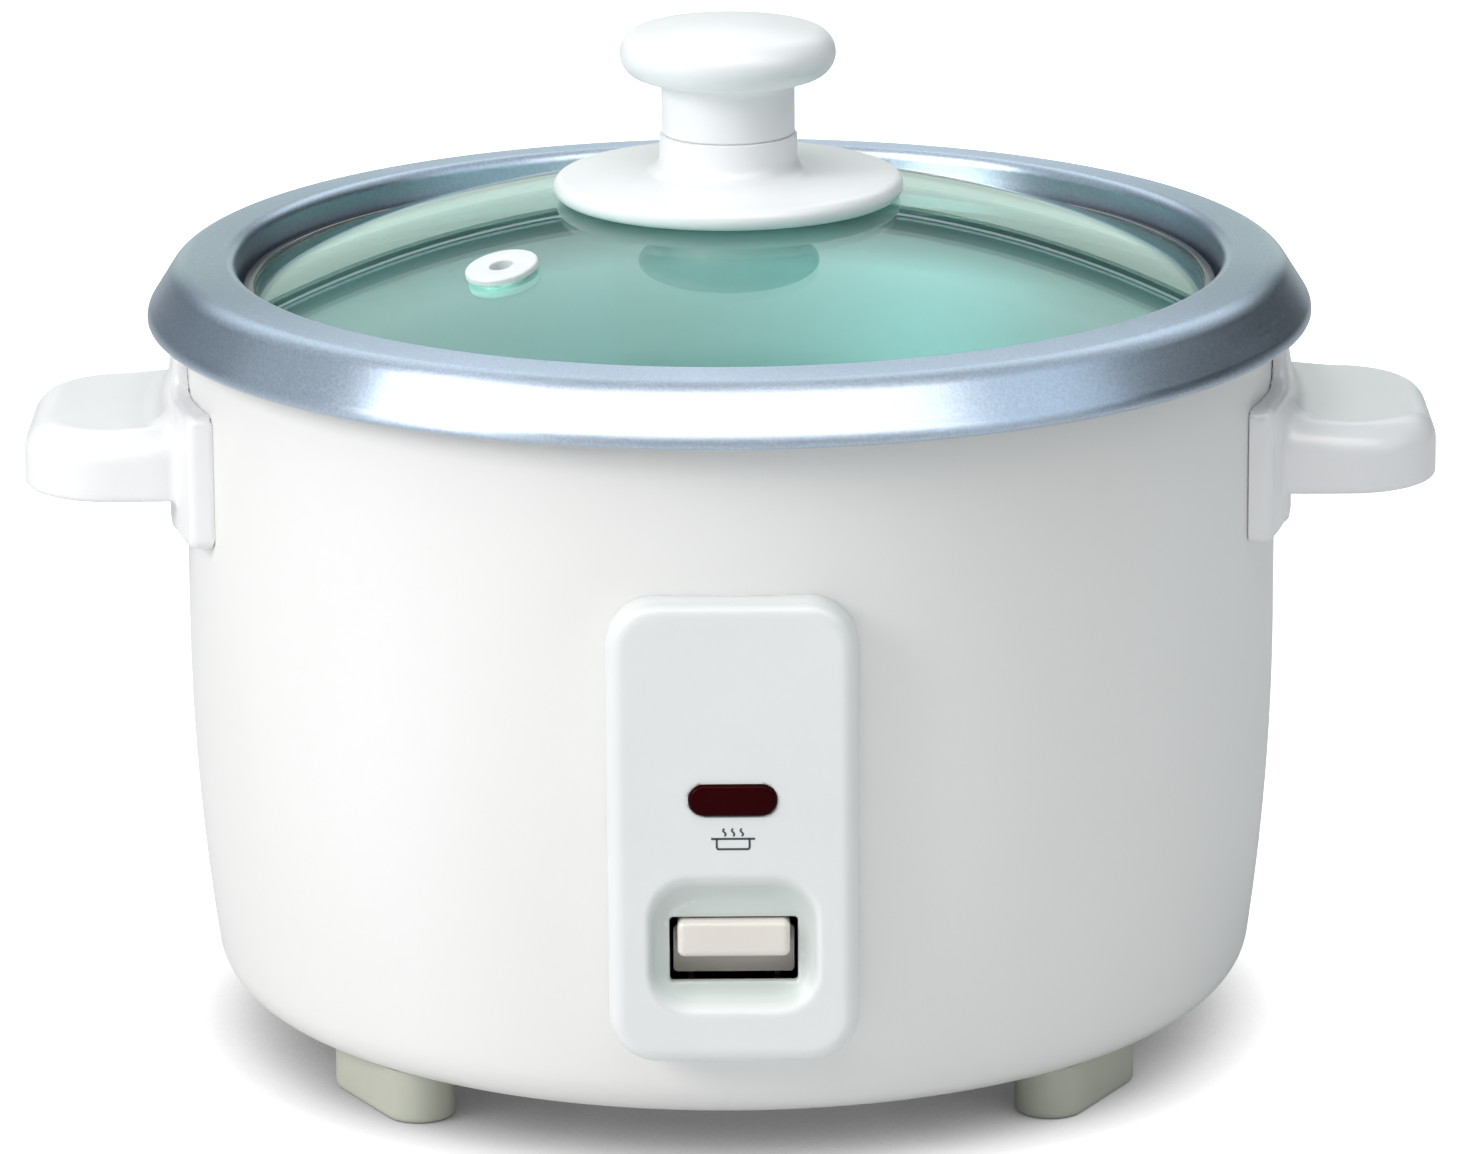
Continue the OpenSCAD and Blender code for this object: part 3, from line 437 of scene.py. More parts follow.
@dataclass(frozen=True)
class Metal:
    """Bare metal with brush lines, stains and bright rubbed edges."""

    name: str
    color: Color
    roughness: float
    lay: Lay = Lay.CAST
    line_scale: float = 2600.0
    line_depth: float = 0.000004
    pull: float = 0.0
    stain: Color = (0.30, 0.27, 0.24)
    stain_share: float = 0.12
    grain: float = 0.0
    grain_scale: float = 1500.0
    wear: float = 0.4
    lining: Lining | None = None

    def material(self) -> bpy.types.Material:
        """Builds the finish.

        Returns:
            The material.
        """
        made, graph = new_material(self.name)
        place = graph.place()
        across, along, up = graph.parts(place)
        reach = (across * across + along * along) ** 0.5
        if self.lay is Lay.ROUND:
            turn = along.angle_to(across)
            lined = graph.vector(reach, turn * 0.0012, up)
        elif self.lay is Lay.ALONG:
            lined = graph.vector(across, along * 0.02, up)
        else:
            lined = place
        lines = graph.noise(lined, self.line_scale, 3.0, 0.65)
        broad = graph.noise(lined, self.line_scale * 0.12)
        cloud = graph.noise(place, 34.0, 4.0, 0.6)
        edge = graph.out(graph.node("NewGeometry"), "Pointiness").above(0.52, 0.6)
        tone = graph.mixed((lines * 0.6 + broad * 0.4).above(0.3, 0.7), toned(self.color, 0.9),
                           self.color)
        stained = graph.mixed(cloud.above(0.55, 0.8) * self.stain_share, tone, self.stain)
        finished = graph.mixed(edge * self.wear, stained, toned(self.color, 1.15))
        base: Signal | float = self.roughness
        normal = graph.bump(lines + broad * 0.5, self.line_depth)
        if self.grain > 0.0:
            grain = graph.noise(place, self.grain_scale, 3.0, 0.7)
            normal = graph.bump(grain, self.grain, under=normal)
            finished = graph.mixed(grain.above(0.38, 0.62), toned(self.color, 0.8), finished)
            base = (grain - 0.5) * 0.12 + self.roughness
        # Painted shade: the lining darkens the inner face towards the ledge.
        if self.lining:
            inside = self.lining.share(reach, up)
            finished = graph.mixed(inside, finished, self.lining.tone(graph, up))
            base = inside * (self.lining.roughness - self.roughness) + base
        graph.surface(graph.node("BsdfPrincipled", sockets={
            "Base Color": finished,
            "Metallic": 1.0,
            "Roughness": (lines - 0.5) * 0.12 + (cloud - 0.5) * 0.1 + base,
            "Anisotropic": self.pull, "Anisotropic Rotation": 0.25,
            "Normal": normal}))
        return made


@dataclass(frozen=True)
class TintedGlass:
    """Tempered glass with a green tint, faint ripples and a few specks."""

    name: str
    tint: Color
    cast: Color
    veil: Color
    veil_share: float
    ripple_scale: float = 22.0
    ripple_depth: float = 0.00002
    speck_scale: float = 700.0
    speck_roughness: float = 0.25

    def material(self) -> bpy.types.Material:
        """Builds the finish.

        Returns:
            The material.
        """
        made, graph = new_material(self.name)
        place = graph.place()
        ripple = graph.noise(place, self.ripple_scale, 1.0)
        specks = graph.noise(place, self.speck_scale).above(0.84, 0.9)
        glass = graph.node("BsdfPrincipled", sockets={
            "Base Color": graph.mixed(ripple, self.tint, toned(self.tint, 0.985)),
            "Roughness": specks * self.speck_roughness, "IOR": 1.5, "Transmission Weight": 1.0,
            "Normal": graph.bump(ripple, self.ripple_depth)})
        veil = graph.node("BsdfDiffuse", sockets={"Color": (*self.veil, 1.0)})
        veiled = graph.merged(ripple * 0.04 + (self.veil_share - 0.02), glass, veil)
        clear = graph.node("BsdfTransparent", sockets={"Color": (*self.cast, 1.0)})
        shadow = graph.out(graph.node("LightPath"), "Is Shadow Ray")
        graph.surface(graph.merged(shadow, veiled, clear))
        return made


class Finishes:
    """The cooker's finishes, each built once when it is first used."""

    RECIPES = {
        "enamel": Enamel("baked_enamel", (0.835, 0.83, 0.815), 0.3),
        "gloss_white": Moulding("gloss_white", (0.88, 0.885, 0.89), 0.3, cloud=0.012,
                                skin_depth=0.000004),
        # The panel's dish round the window carries painted shade.
        "panel_white": Moulding("panel_white", (0.79, 0.805, 0.80), 0.3, cloud=0.012,
                                skin_depth=0.000006,
                                recess=Recess(half=0.0175, low=0.0355, high=0.0652,
                                              mouth=-0.1178, deep=-0.1164)),
        "handle_white": Moulding("handle_white", (0.86, 0.855, 0.86), 0.24, cloud=0.012,
                                 skin_depth=0.000006),
        "foot_grey": Moulding("foot_grey", (0.50, 0.51, 0.43), 0.5, cloud=0.05,
                              skin_depth=0.00003),
        "paddle_ivory": Moulding("paddle_ivory", (0.79, 0.74, 0.68), 0.25, cloud=0.02, coat=0.2),
        "lens_red": Moulding("lens_red", (0.024, 0.0006, 0.0015), 0.12, cloud=0.2,
                             skin_depth=0.000003, specular=0.03),
        "lamp_glass": Moulding("lamp_glass", (0.8, 0.45, 0.25), 0.1, coat=0.5),
        "zinc": Metal("zinc_sheet", (0.62, 0.63, 0.63), 0.38, Lay.ALONG),
        "screw": Metal("zinc_screw", (0.55, 0.56, 0.57), 0.35, Lay.CAST),
        "band": Metal("band_steel", (0.33, 0.29, 0.30), 0.24, Lay.ROUND, pull=0.4,
                      stain_share=0.05),
        "spring": Metal("spring_wire", (0.6, 0.6, 0.62), 0.25),
        "sheath": Metal("element_sheath", (0.33, 0.30, 0.27), 0.45, stain=(0.16, 0.10, 0.06),
                        stain_share=0.5),
        "spun": Metal("spun_aluminium", (0.545, 0.635, 0.755), 0.34, Lay.ROUND, pull=0.8,
                      line_depth=0.000003, stain_share=0.03, grain=0.00002,
                      # The pot's lining paints shade on its inner face towards the ledge.
                      lining=Lining(wall_r=0.097, corner=0.014, floor=0.0692,
                                    color=(0.56, 0.63, 0.66), ledge_shade=(0.06, 0.065, 0.065),
                                    roughness=0.85)),
        "cast": Metal("cast_aluminium", (0.60, 0.61, 0.62), 0.42, Lay.ROUND, line_scale=1500.0,
                      line_depth=0.00001),
        "cap": Metal("pressed_aluminium", (0.72, 0.73, 0.74), 0.3, Lay.ROUND),
        "glass": TintedGlass("green_glass", (0.62, 0.90, 0.79), (0.62, 0.98, 1.0),
                             (0.30, 0.62, 0.58), 0.05),
        "silicone": Moulding("white_silicone", (0.80, 0.82, 0.82), 0.42, cloud=0.03),
        "ferrite": Moulding("ferrite", (0.05, 0.05, 0.055), 0.55, cloud=0.2, skin_depth=0.00004),
        "phenolic": Moulding("phenolic", (0.13, 0.07, 0.035), 0.4, cloud=0.15),
        "brass": Metal("brass", (0.72, 0.55, 0.25), 0.28, Lay.ALONG),
        "sleeve": Moulding("woven_sleeve", (0.8, 0.79, 0.74), 0.7, cloud=0.08, skin_scale=1800.0,
                           skin_depth=0.0001),
        "inlet_black": Moulding("inlet_black", (0.03, 0.03, 0.03), 0.38, cloud=0.15,
                                skin_depth=0.00002),
        "ink": Moulding("dark_ink", (0.035, 0.037, 0.045), 0.5, cloud=0.1),
    }
    _made: dict[str, bpy.types.Material] = {}

    @classmethod
    def get(cls, name: str) -> bpy.types.Material:
        """The material of a finish, by its name in RECIPES."""
        if name not in cls._made:
            cls._made[name] = cls.RECIPES[name].material()
        return cls._made[name]


# ---------- Mesh kit ----------


def arc(x: float, z: float, r: float, start: float, end: float, steps: int = 12) -> list[Point]:
    """Points along a round corner.

    Args:
        x: the middle's distance from the axis.
        z: the middle's height.
        r: the radius.
        start: the angle of the first point, in degrees.
        end: the angle of the last point.
        steps: how many pieces the arc is cut into.

    Returns:
        The points, in order.
    """
    turns = (math.radians(start + (end - start) * i / steps) for i in range(steps + 1))
    return [(x + r * math.cos(t), z + r * math.sin(t)) for t in turns]


def beside(path: list[Point], offset: float) -> list[Point]:
    """A path moved to its left by an offset, with mitred corners.

    Args:
        path: the path's points.
        offset: the distance.

    Returns:
        As many points beside the path.
    """
    def left(p: Point, q: Point) -> np.ndarray:
        """The unit normal on the left of a step."""
        step = np.subtract(q, p)
        return np.array([-step[1], step[0]]) / np.linalg.norm(step)
    last = len(path) - 1
    moved = []
    for i, here in enumerate(path):
        before = left(path[max(i - 1, 0)], path[max(i, 1)])
        after = left(path[min(i, last - 1)], path[min(i + 1, last)])
        moved.append(tuple(np.array(here) + offset * (before + after) / (1 + before @ after)))
    return moved


def put(name: str, data: bpy.types.ID) -> bpy.types.Object:
    """An object in the scene that holds a mesh, a lamp or a camera."""
    made = bpy.data.objects.new(name, data)
    bpy.context.scene.collection.objects.link(made)
    return made


def baked(work: bmesh.types.BMesh, mesh: bpy.types.Mesh) -> bpy.types.Mesh:
    """Writes a working mesh into a mesh and frees it."""
    work.to_mesh(mesh)
    work.free()
    return mesh


def softened(mesh: bpy.types.Mesh, crease: float) -> None:
    """Shades a mesh smooth but for edges that bend by more than crease degrees."""
    mesh.shade_smooth()
    mesh.set_sharp_from_angle(angle=math.radians(crease))


def mesh_object(name: str, points: np.ndarray, faces: list, crease: float = CREASE,
                smooth: bool = True) -> bpy.types.Object:
    """A mesh object in the scene.

    Args:
        name: the piece's name.
        points: its vertices, in metres.
        faces: its faces, as lists of vertex numbers.
        crease: edges that bend by more than this many degrees stay sharp.
        smooth: whether the rest is shaded smooth.

    Returns:
        The object.
    """
    mesh = bpy.data.meshes.new(name)
    mesh.from_pydata(np.asarray(points).tolist(), [], faces)
    mesh.validate()
    mesh.update()
    if smooth:
        softened(mesh, crease)
    return put(name, mesh)


def revolved(name: str, outline: list[Point], steps: int = 256,
             crease: float = CREASE) -> bpy.types.Object:
    """A closed outline turned about the Z axis.

    Args:
        name: the piece's name.
        outline: its points, in millimetres from the axis and up, counter-clockwise.
        steps: how many pieces the circle is cut into.
        crease: edges sharper than this many degrees are kept.

    Returns:
        The object.
    """
    turns = np.linspace(0.0, 2.0 * math.pi, steps, endpoint=False)
    cos, sin = np.cos(turns), np.sin(turns)
    points: list[np.ndarray] = []
    rows: list[list[int]] = []
    count = 0
    for r, z in outline:
        if r < AXIS_EPS:
            points.append(np.array([[0.0, 0.0, z]]))
            rows.append([count] * steps)
            count += 1
        else:
            points.append(np.stack([r * cos, r * sin, np.full(steps, z)], axis=1))
            rows.append(list(range(count, count + steps)))
            count += steps
    faces = []
    for a, b in zip(rows, rows[1:] + rows[:1]):
        if a[0] == a[-1] and b[0] == b[-1]:
            continue
        for i in range(steps):
            k = (i + 1) % steps
            ring = [a[i], a[k], b[k], b[i]]
            faces.append([v for n, v in enumerate(ring) if v not in ring[:n]])
    return mesh_object(name, np.concatenate(points) * MM, faces, crease)


Field = Callable[[np.ndarray, np.ndarray, np.ndarray], np.ndarray]


def soft_min(a: np.ndarray, b: np.ndarray, width: float) -> np.ndarray:
    """The smaller of two distances, with a fillet where they meet."""
    share = np.clip(0.5 + 0.5 * (b - a) / width, 0.0, 1.0)
    return b + (a - b) * share - width * share * (1.0 - share)


def soft_max(a: np.ndarray, b: np.ndarray, width: float) -> np.ndarray:
    """The larger of two distances, with a rounded edge where they meet."""
    return -soft_min(-a, -b, width)


def rounded(a: np.ndarray, b: np.ndarray, r: float) -> np.ndarray:
    """Distance to what lies inside both a and b, with their edge rounded by r."""
    return (np.minimum(np.maximum(a + r, b + r), 0.0)
            + np.hypot(np.maximum(a + r, 0.0), np.maximum(b + r, 0.0)) - r)


def oblong(u: np.ndarray, v: np.ndarray, w: float, h: float, corner: float) -> np.ndarray:
    """Distance to a flat rectangle w by h with round corners, centred."""
    a = np.abs(u) - w / 2 + corner
    b = np.abs(v) - h / 2 + corner
    return (np.minimum(np.maximum(a, b), 0.0)
            + np.hypot(np.maximum(a, 0.0), np.maximum(b, 0.0)) - corner)


def carved(name: str, shape: Field, low: tuple, high: tuple, step: float) -> bpy.types.Object:
    """The surface of a distance field, laid through a grid and then drawn onto the field.

    Args:
        name: the piece's name.
        shape: distance to the surface at points in millimetres, negative inside.
        low: the lowest corner of the grid, in millimetres.
        high: its highest corner.
        step: the grid's spacing.

    Returns:
        The object.
    """
    low = np.array(low, float)
    axes = [np.arange(a, b + step, step) for a, b in zip(low, high)]
    values = shape(*np.meshgrid(*axes, indexing="ij"))
    size = np.array(values.shape) - 1
    total = np.zeros((*size, 3))
    count = np.zeros(size)
    for axis in range(3):
        for p in (0, 1):
            for q in (0, 1):
                start = [p, q]
                start.insert(axis, 0)
                end = list(start)
                end[axis] = 1
                va, vb = (values[tuple(slice(c, c + n) for c, n in zip(at, size))]
                          for at in (start, end))
                cross = (va < 0) != (vb < 0)
                share = np.where(cross, va / np.where(cross, va - vb, 1.0), 0.0)
                for k in range(3):
                    total[..., k] += cross * (share if k == axis else start[k])
                count += cross
    used = count > 0
    index = np.full(size, -1)
    index[used] = np.arange(used.sum())
    points = low + step * (np.argwhere(used) + total[used] / count[used][:, None])
    faces = []
    for axis in range(3):
        u, w = (axis + 1) % 3, (axis + 2) % 3
        a = np.take(values, range(size[axis]), axis)
        b = np.take(values, range(1, size[axis] + 1), axis)
        at = np.argwhere((a < 0) != (b < 0))
        keep = (at[:, u] >= 1) & (at[:, w] >= 1) & (at[:, u] < size[u]) & (at[:, w] < size[w])
        at = at[keep]
        du, dw = np.eye(3, dtype=int)[u], np.eye(3, dtype=int)[w]
        ring = np.stack([index[tuple((at - s).T)] for s in (0 * du, du, du + dw, dw)], axis=1)
        inside = a[tuple(at.T)] < 0
        faces += np.where(inside[:, None], ring, ring[:, ::-1]).tolist()
    nudge = step * 0.02
    for _ in range(CARVE_PASSES):
        here = shape(*points.T)
        slope = np.stack([(shape(*(points + nudge * e).T) - shape(*(points - nudge * e).T))
                          / (2 * nudge) for e in np.eye(3)], axis=1)
        move = -here[:, None] * slope / np.maximum((slope ** 2).sum(1), 0.05)[:, None]
        points = points + np.clip(move, -0.5 * step, 0.5 * step)
    return mesh_object(name, points * MM, faces, CARVED_CREASE)


def subtract(piece: bpy.types.Object, work: bmesh.types.BMesh) -> None:
    """Takes a cutter's space out of a piece and frees the cutter.

    Args:
        piece: the object, which sits at the origin.
        work: the cutter, in metres.
    """
    cutter = put("cutter", baked(work, bpy.data.meshes.new("cutter")))
    hole = piece.modifiers.new("cut", "BOOLEAN")
    hole.object, hole.operation, hole.solver = cutter, "DIFFERENCE", "EXACT"
    bpy.context.view_layer.update()
    done = bpy.data.meshes.new_from_object(
        piece.evaluated_get(bpy.context.evaluated_depsgraph_get()))
    piece.modifiers.clear()
    piece.data = done
    softened(done, CREASE)
    bpy.data.objects.remove(cutter)


def refined(node: str, name: str) -> bpy.types.Object:
    """A copy of a CAD node with its facets joined and shaded smooth.

    Args:
        node: the CAD node.
        name: the piece's name.

    Returns:
        The object.
    """
    work = bmesh.new()
    work.from_mesh(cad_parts[node].data)
    bmesh.ops.remove_doubles(work, verts=work.verts, dist=1e-6)
    bmesh.ops.dissolve_limit(work, angle_limit=math.radians(0.3), verts=work.verts,
                             edges=work.edges)
    mesh = baked(work, bpy.data.meshes.new(name))
    for spare in ("custom_normal", "sharp_edge", "sharp_face"):
        if spare in mesh.attributes:
            mesh.attributes.remove(mesh.attributes[spare])
    mesh.materials.clear()
    softened(mesh, CAD_CREASE)
    return put(name, mesh)


def fit_out(piece: bpy.types.Object, body: str, slot: str, finish: str,
            *nodes: str) -> bpy.types.Object:
    """Gives a piece its finish, its body and the CAD nodes that it stands for.

    Args:
        piece: the object.
        body: the body that it rides on.
        slot: the record's material slot, which is not used.
        finish: the finish's name.
        nodes: the CAD nodes that it stands for.

    Returns:
        The object.
    """
    piece.data.materials.clear()
    piece.data.materials.append(Finishes.get(finish))
    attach(piece, body)
    if nodes:
        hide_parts(*nodes)
    LOG.info("%s on %s, %d faces", piece.name, body, len(piece.data.polygons))
    return piece


def dress(finish: str, *nodes: str) -> None:
    """Gives CAD nodes a finish and leaves their shape as it is.

    Args:
        finish: the finish's name.
        nodes: the CAD nodes.
    """
    for node in nodes:
        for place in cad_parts[node].material_slots:
            place.material = Finishes.get(finish)
        LOG.info("%s in %s", node, finish)


# ---------- Sub-assemblies: lengths in millimetres ----------


@dataclass(frozen=True)
class Opening:
    """A rectangular opening in the drum's wall, at a side of the Y axis and a height."""

    side: float
    level: float
    width: float
    height: float
    depth: float = 16.0

    def cutter(self) -> bmesh.types.BMesh:
        """The block that cuts the opening."""
        work = bmesh.new()
        bmesh.ops.create_cube(work, size=1.0)
        middle = Vector((0.0, self.side, self.level)) * MM
        size = Vector((self.width, self.depth, self.height)) * MM
        for vert in work.verts:
            vert.co = middle + Vector(a * b for a, b in zip(vert.co, size))
        return work


@dataclass
class Drum:
    """The enamelled drum with its liner, base plate and feet."""

    face_r: float = DRUM_R
    top: float = 161.3
    low: float = 10.0
    sheet: float = 1.2
    bow_start: float = BOW_START
    bow_r: float = BOW_R
    corner_r: float = 11.0
    flange_in: float = 84.0
    top_bend: float = 3.0
    top_in: float = 105.8
    openings: tuple[Opening, ...] = (
        Opening(side=-112.0, level=48.85, width=28.2, height=17.2),
        Opening(side=-112.0, level=80.2, width=25.4, height=10.4),
        Opening(side=112.0, level=37.0, width=32.6, height=20.6),
    )
    foot_w: float = 14.5
    foot_l: float = 36.0
    foot_in: float = 20.6
    foot_angle: float = 48.7
    foot_turn: float = 12.0
    foot_edge: float = 1.2
    foot_bore: float = 3.5
    foot_top: float = 14.4
    foot_grid: float = 0.6
    seat: float = -0.2

    def corner(self) -> tuple[float, float]:
        """How far out the lower corner's middle is, and the wall's lean where it ends."""
        rise = self.bow_start - self.low - self.corner_r
        lean = math.asin(rise / (self.bow_r - self.corner_r))
        out = self.face_r - self.bow_r + (self.bow_r - self.corner_r) * math.cos(lean)
        return out, math.degrees(lean)

    def path(self) -> list[Point]:
        """The drum's outer face, from its lower flange to its upper one."""
        corner, lean = self.corner()
        return ([(self.flange_in, self.low)]
                + arc(corner, self.low + self.corner_r, self.corner_r, -90, -lean, 20)
                + arc(self.face_r - self.bow_r, self.bow_start, self.bow_r, -lean * 0.96, 0, 30)
                + arc(self.face_r - self.top_bend, self.top - self.top_bend, self.top_bend,
                      0, 90, 12)
                + [(self.top_in, self.top)])

    def foot(self, x: np.ndarray, y: np.ndarray, z: np.ndarray) -> np.ndarray:
        """Distance to the four feet, whose tops follow the drum's lower corner."""
        swing, turn = math.radians(self.foot_angle), math.radians(self.foot_turn)
        x, y = np.abs(x), -np.abs(y)
        u = x * math.cos(swing) + y * math.sin(swing)
        v = -x * math.sin(swing) + y * math.cos(swing) + self.face_r - self.foot_in
        along = u * math.cos(turn) + v * math.sin(turn)
        aside = -u * math.sin(turn) + v * math.cos(turn)
        pad = rounded(oblong(along, aside, self.foot_l, self.foot_w, self.foot_w / 2), -z,
                      self.foot_edge)
        bore = np.maximum(np.hypot(u, v) - self.foot_bore, z - self.low / 2)
        out = np.hypot(x, y) - self.corner()[0]
        under = np.where(out < 0.0, z - self.low,
                         self.corner_r - np.hypot(out, z - self.low - self.corner_r))
        return np.maximum(np.maximum(pad, under + self.seat), -bore)

    def build(self) -> None:
        """Builds the drum's wall and dresses what it carries."""
        path = self.path()
        wall = path + beside(path, self.sheet)[::-1]
        drum = revolved("drum_wall", wall)
        for opening in self.openings:
            subtract(drum, opening.cutter())
        fit_out(drum, "root", "enamel", "enamel", "outer_body")
        dress("zinc", "heat_shield", "base_plate")
        dress("screw", "foot_screws", "base_screws")
        reach = self.face_r - 2.0
        feet = carved("foot_pads", self.foot, (-reach, -reach, -2.0 * self.foot_grid),
                      (reach, reach, self.foot_top), self.foot_grid)
        fit_out(feet, "root", "foot_plastic", "foot_grey", "feet")


@dataclass
class Pot:
    """The lift-out pot of spun aluminium, with the ledge and flared rim."""

    wall_r: float = 97.0
    sheet: float = 1.2
    floor: float = 69.2
    corner: float = 14.0
    ledge: float = POT_LEDGE
    ledge_in: float = 1.6
    ledge_out: float = 1.4
    rim_in: float = 101.7
    rim_turn: float = 113.0
    rim_out: float = 120.0
    crest: float = 163.6
    skirt: float = 11.0
    tilt: float = 4.5
    lip: float = 2.2
    bend: float = 5.5
    flare: float = 4.0
    hem: float = 1.0
    low: float = 12.7

    def path(self) -> list[Point]:
        """The pot's inner face, from its middle out to the hem of its rim."""
        fall = math.atan2(self.rim_out - self.rim_turn, self.skirt)
        tilt = math.radians(self.tilt)
        end = self.crest - self.low + self.hem
        out = self.rim_out - self.flare
        inner = self.rim_in + self.lip
        reach = (math.sin(tilt) * inner + math.cos(tilt) * (self.crest - self.lip) + self.lip
                 - self.bend)
        far = out + (self.flare - self.bend) / math.cos(fall) + end * math.tan(fall)
        high = ((reach - math.sin(tilt) * far)
                / (math.cos(tilt) - math.sin(tilt) * math.tan(fall)))
        turn = far - high * math.tan(fall)
        fall = math.degrees(fall)
        return ([(0.0, self.floor)]
                + arc(self.wall_r - self.corner, self.floor + self.corner, self.corner, -90, 0, 20)
                + arc(self.wall_r + self.ledge_in, self.ledge - self.ledge_in, self.ledge_in,
                      180, 90, 8)
                + arc(self.rim_in - self.ledge_out, self.ledge + self.ledge_out, self.ledge_out,
                      -90, 0, 8)
                + arc(inner, self.crest - self.lip, self.lip, 180, 90 - self.tilt, 12)
                + arc(turn, high, self.bend, 90 - self.tilt, fall, 18)
                + arc(out, end, self.flare, fall, 0, 12)[:-1]
                + arc(self.rim_out - self.hem, end, self.hem, 0, -120, 12))

    def build(self) -> None:
        """Builds the pot."""
        path = self.path()
        under = beside(path, -self.sheet)
        outline = path + [(max(r, 0.0), z) for r, z in under[::-1]]
        pot = revolved("pot_shell", outline[::-1])
        fit_out(pot, "pot", "pot_aluminium", "spun", "inner_pot")


@dataclass
class Lid:
    """The glass dome in its steel band, with the vent and the knob."""

    dome_r: float = 250.0
    glass: float = 3.5
    edge: float = 99.85
    edge_z: float = 152.55
    edge_round: float = 0.7
    hole: float = 4.0
    vent_place: float = 62.8
    vent_turn: float = -46.5
    vent_r: float = 7.5
    vent_neck: float = 5.45
    vent_hole: float = 2.4
    vent_rise: float = 1.35
    vent_under: float = 1.4
    vent_round: float = 0.45
    dome_z: float = field(init=False)
    band_r: float = 100.5
    band: float = 0.6
    lip_in: float = 98.1
    ledge: float = POT_LEDGE
    band_top: float = 157.78
    base_r: float = 36.0
    base_edge: float = 2.2
    base_low: float = 174.93
    base_top: float = 188.13
    base_bore: float = 8.0
    base_roof: float = 7.0
    base_fillet: float = 3.4
    neck_r: float = 13.7
    neck_fillet: float = 3.2
    knob_low: float = 188.18
    knob_top: float = 211.88
    grip_r: float = 22.2
    grip_edge: float = 5.0
    grip_crown: float = 2.0
    bore: float = 2.2
    bore_deep: float = 14.0
    groove: float = 0.35
    clearance: float = 0.05

    def __post_init__(self) -> None:
        """Works out where the dome's middle is from the height of its edge."""
        self.dome_z = self.edge_z - math.sqrt((self.dome_r - self.glass) ** 2 - self.edge ** 2)

    def dome(self, r: float, start: float, end: float, steps: int) -> list[Point]:
        """Points of a dome of radius r, from distance start to distance end."""
        return arc(0.0, self.dome_z, r, math.degrees(math.acos(start / r)),
                   math.degrees(math.acos(end / r)), steps)

    def at(self, r: float) -> float:
        """Height of the dome's outer face at distance r."""
        return self.dome_z + math.sqrt(self.dome_r ** 2 - r * r)

    def vent_seat(self) -> Matrix:
        """Where the vent sits: its Z axis is along the glass's normal, from its outer face."""
        tilt = math.asin(self.vent_place / self.dome_r)
        turn = math.radians(self.vent_turn)
        normal = Vector((math.sin(tilt) * math.sin(turn), -math.sin(tilt) * math.cos(turn),
                         math.cos(tilt)))
        middle = normal * self.dome_r * MM + Vector((0, 0, self.dome_z * MM))
        return Matrix.Translation(middle) @ normal.to_track_quat("Z", "Y").to_matrix().to_4x4()

    def build_vent(self) -> None:
        """Builds the grommet that lines the glass's vent."""
        hole, out, top, turn = self.vent_hole, self.vent_r, self.vent_rise, self.vent_round
        low = -self.glass - 0.17
        outline = ([(hole, low - self.vent_under), (hole, top - 0.3)]
                   + arc(hole + 0.3, top - 0.3, 0.3, 180, 90, 4)
                   + arc(out - turn, top - turn, turn, 90, 0, 5)
                   + [(out, 0.1), (out - 0.3, 0.05), (self.vent_neck, 0.05),
                      (self.vent_neck, low), (out - 0.3, low)]
                   + arc(out - 0.7, low - self.vent_under + 0.4, 0.4, 0, -90, 4))
        vent = revolved("vent_plug", outline[::-1], 96)
        vent.data.transform(self.vent_seat())
        fit_out(vent, "lid", "grommet_silicone", "silicone", "vent_grommet")

    def build_glass(self) -> None:
        """Builds the dome, with holes for the screw and the vent."""
        rim = self.edge_round
        top = self.dome(self.dome_r, self.hole, self.edge - rim, 72)
        low = self.dome(self.dome_r - self.glass, self.hole, self.edge - rim, 72)
        side = [(self.edge, top[-1][1] - rim), (self.edge, low[-1][1] + rim)]
        glass = revolved("lid_dome", (top + side + low[::-1])[::-1], 192)
        drill = (self.vent_r - 2.0) * MM
        cut = bmesh.new()
        bmesh.ops.create_cone(cut, cap_ends=True, segments=64, radius1=drill, radius2=drill,
                              depth=0.02, matrix=self.vent_seat())
        subtract(glass, cut)
        fit_out(glass, "lid", "lid_glass", "glass", "lid_glass")

    def build_band(self) -> None:
        """Builds the steel band round the glass."""
        outline = ([(self.lip_in, self.band_top - self.band)]
                   + arc(self.lip_in + 0.3, self.band_top - 0.3, 0.3, 180, 90, 5)
                   + arc(self.band_r - 1.4, self.band_top - 1.4, 1.4, 90, 0, 8)
                   + arc(self.band_r - 0.8, self.ledge + 0.8, 0.8, 0, -90, 6)
                   + [(self.lip_in, self.ledge), (self.lip_in, self.ledge + self.band),
                      (self.band_r - self.band, self.ledge + self.band),
                      (self.band_r - self.band,
                       self.at(self.band_r - self.band) + self.clearance)])
        band = revolved("lid_trim", outline[::-1], 256, 30.0)
        fit_out(band, "lid", "band_steel", "band", "lid_band")

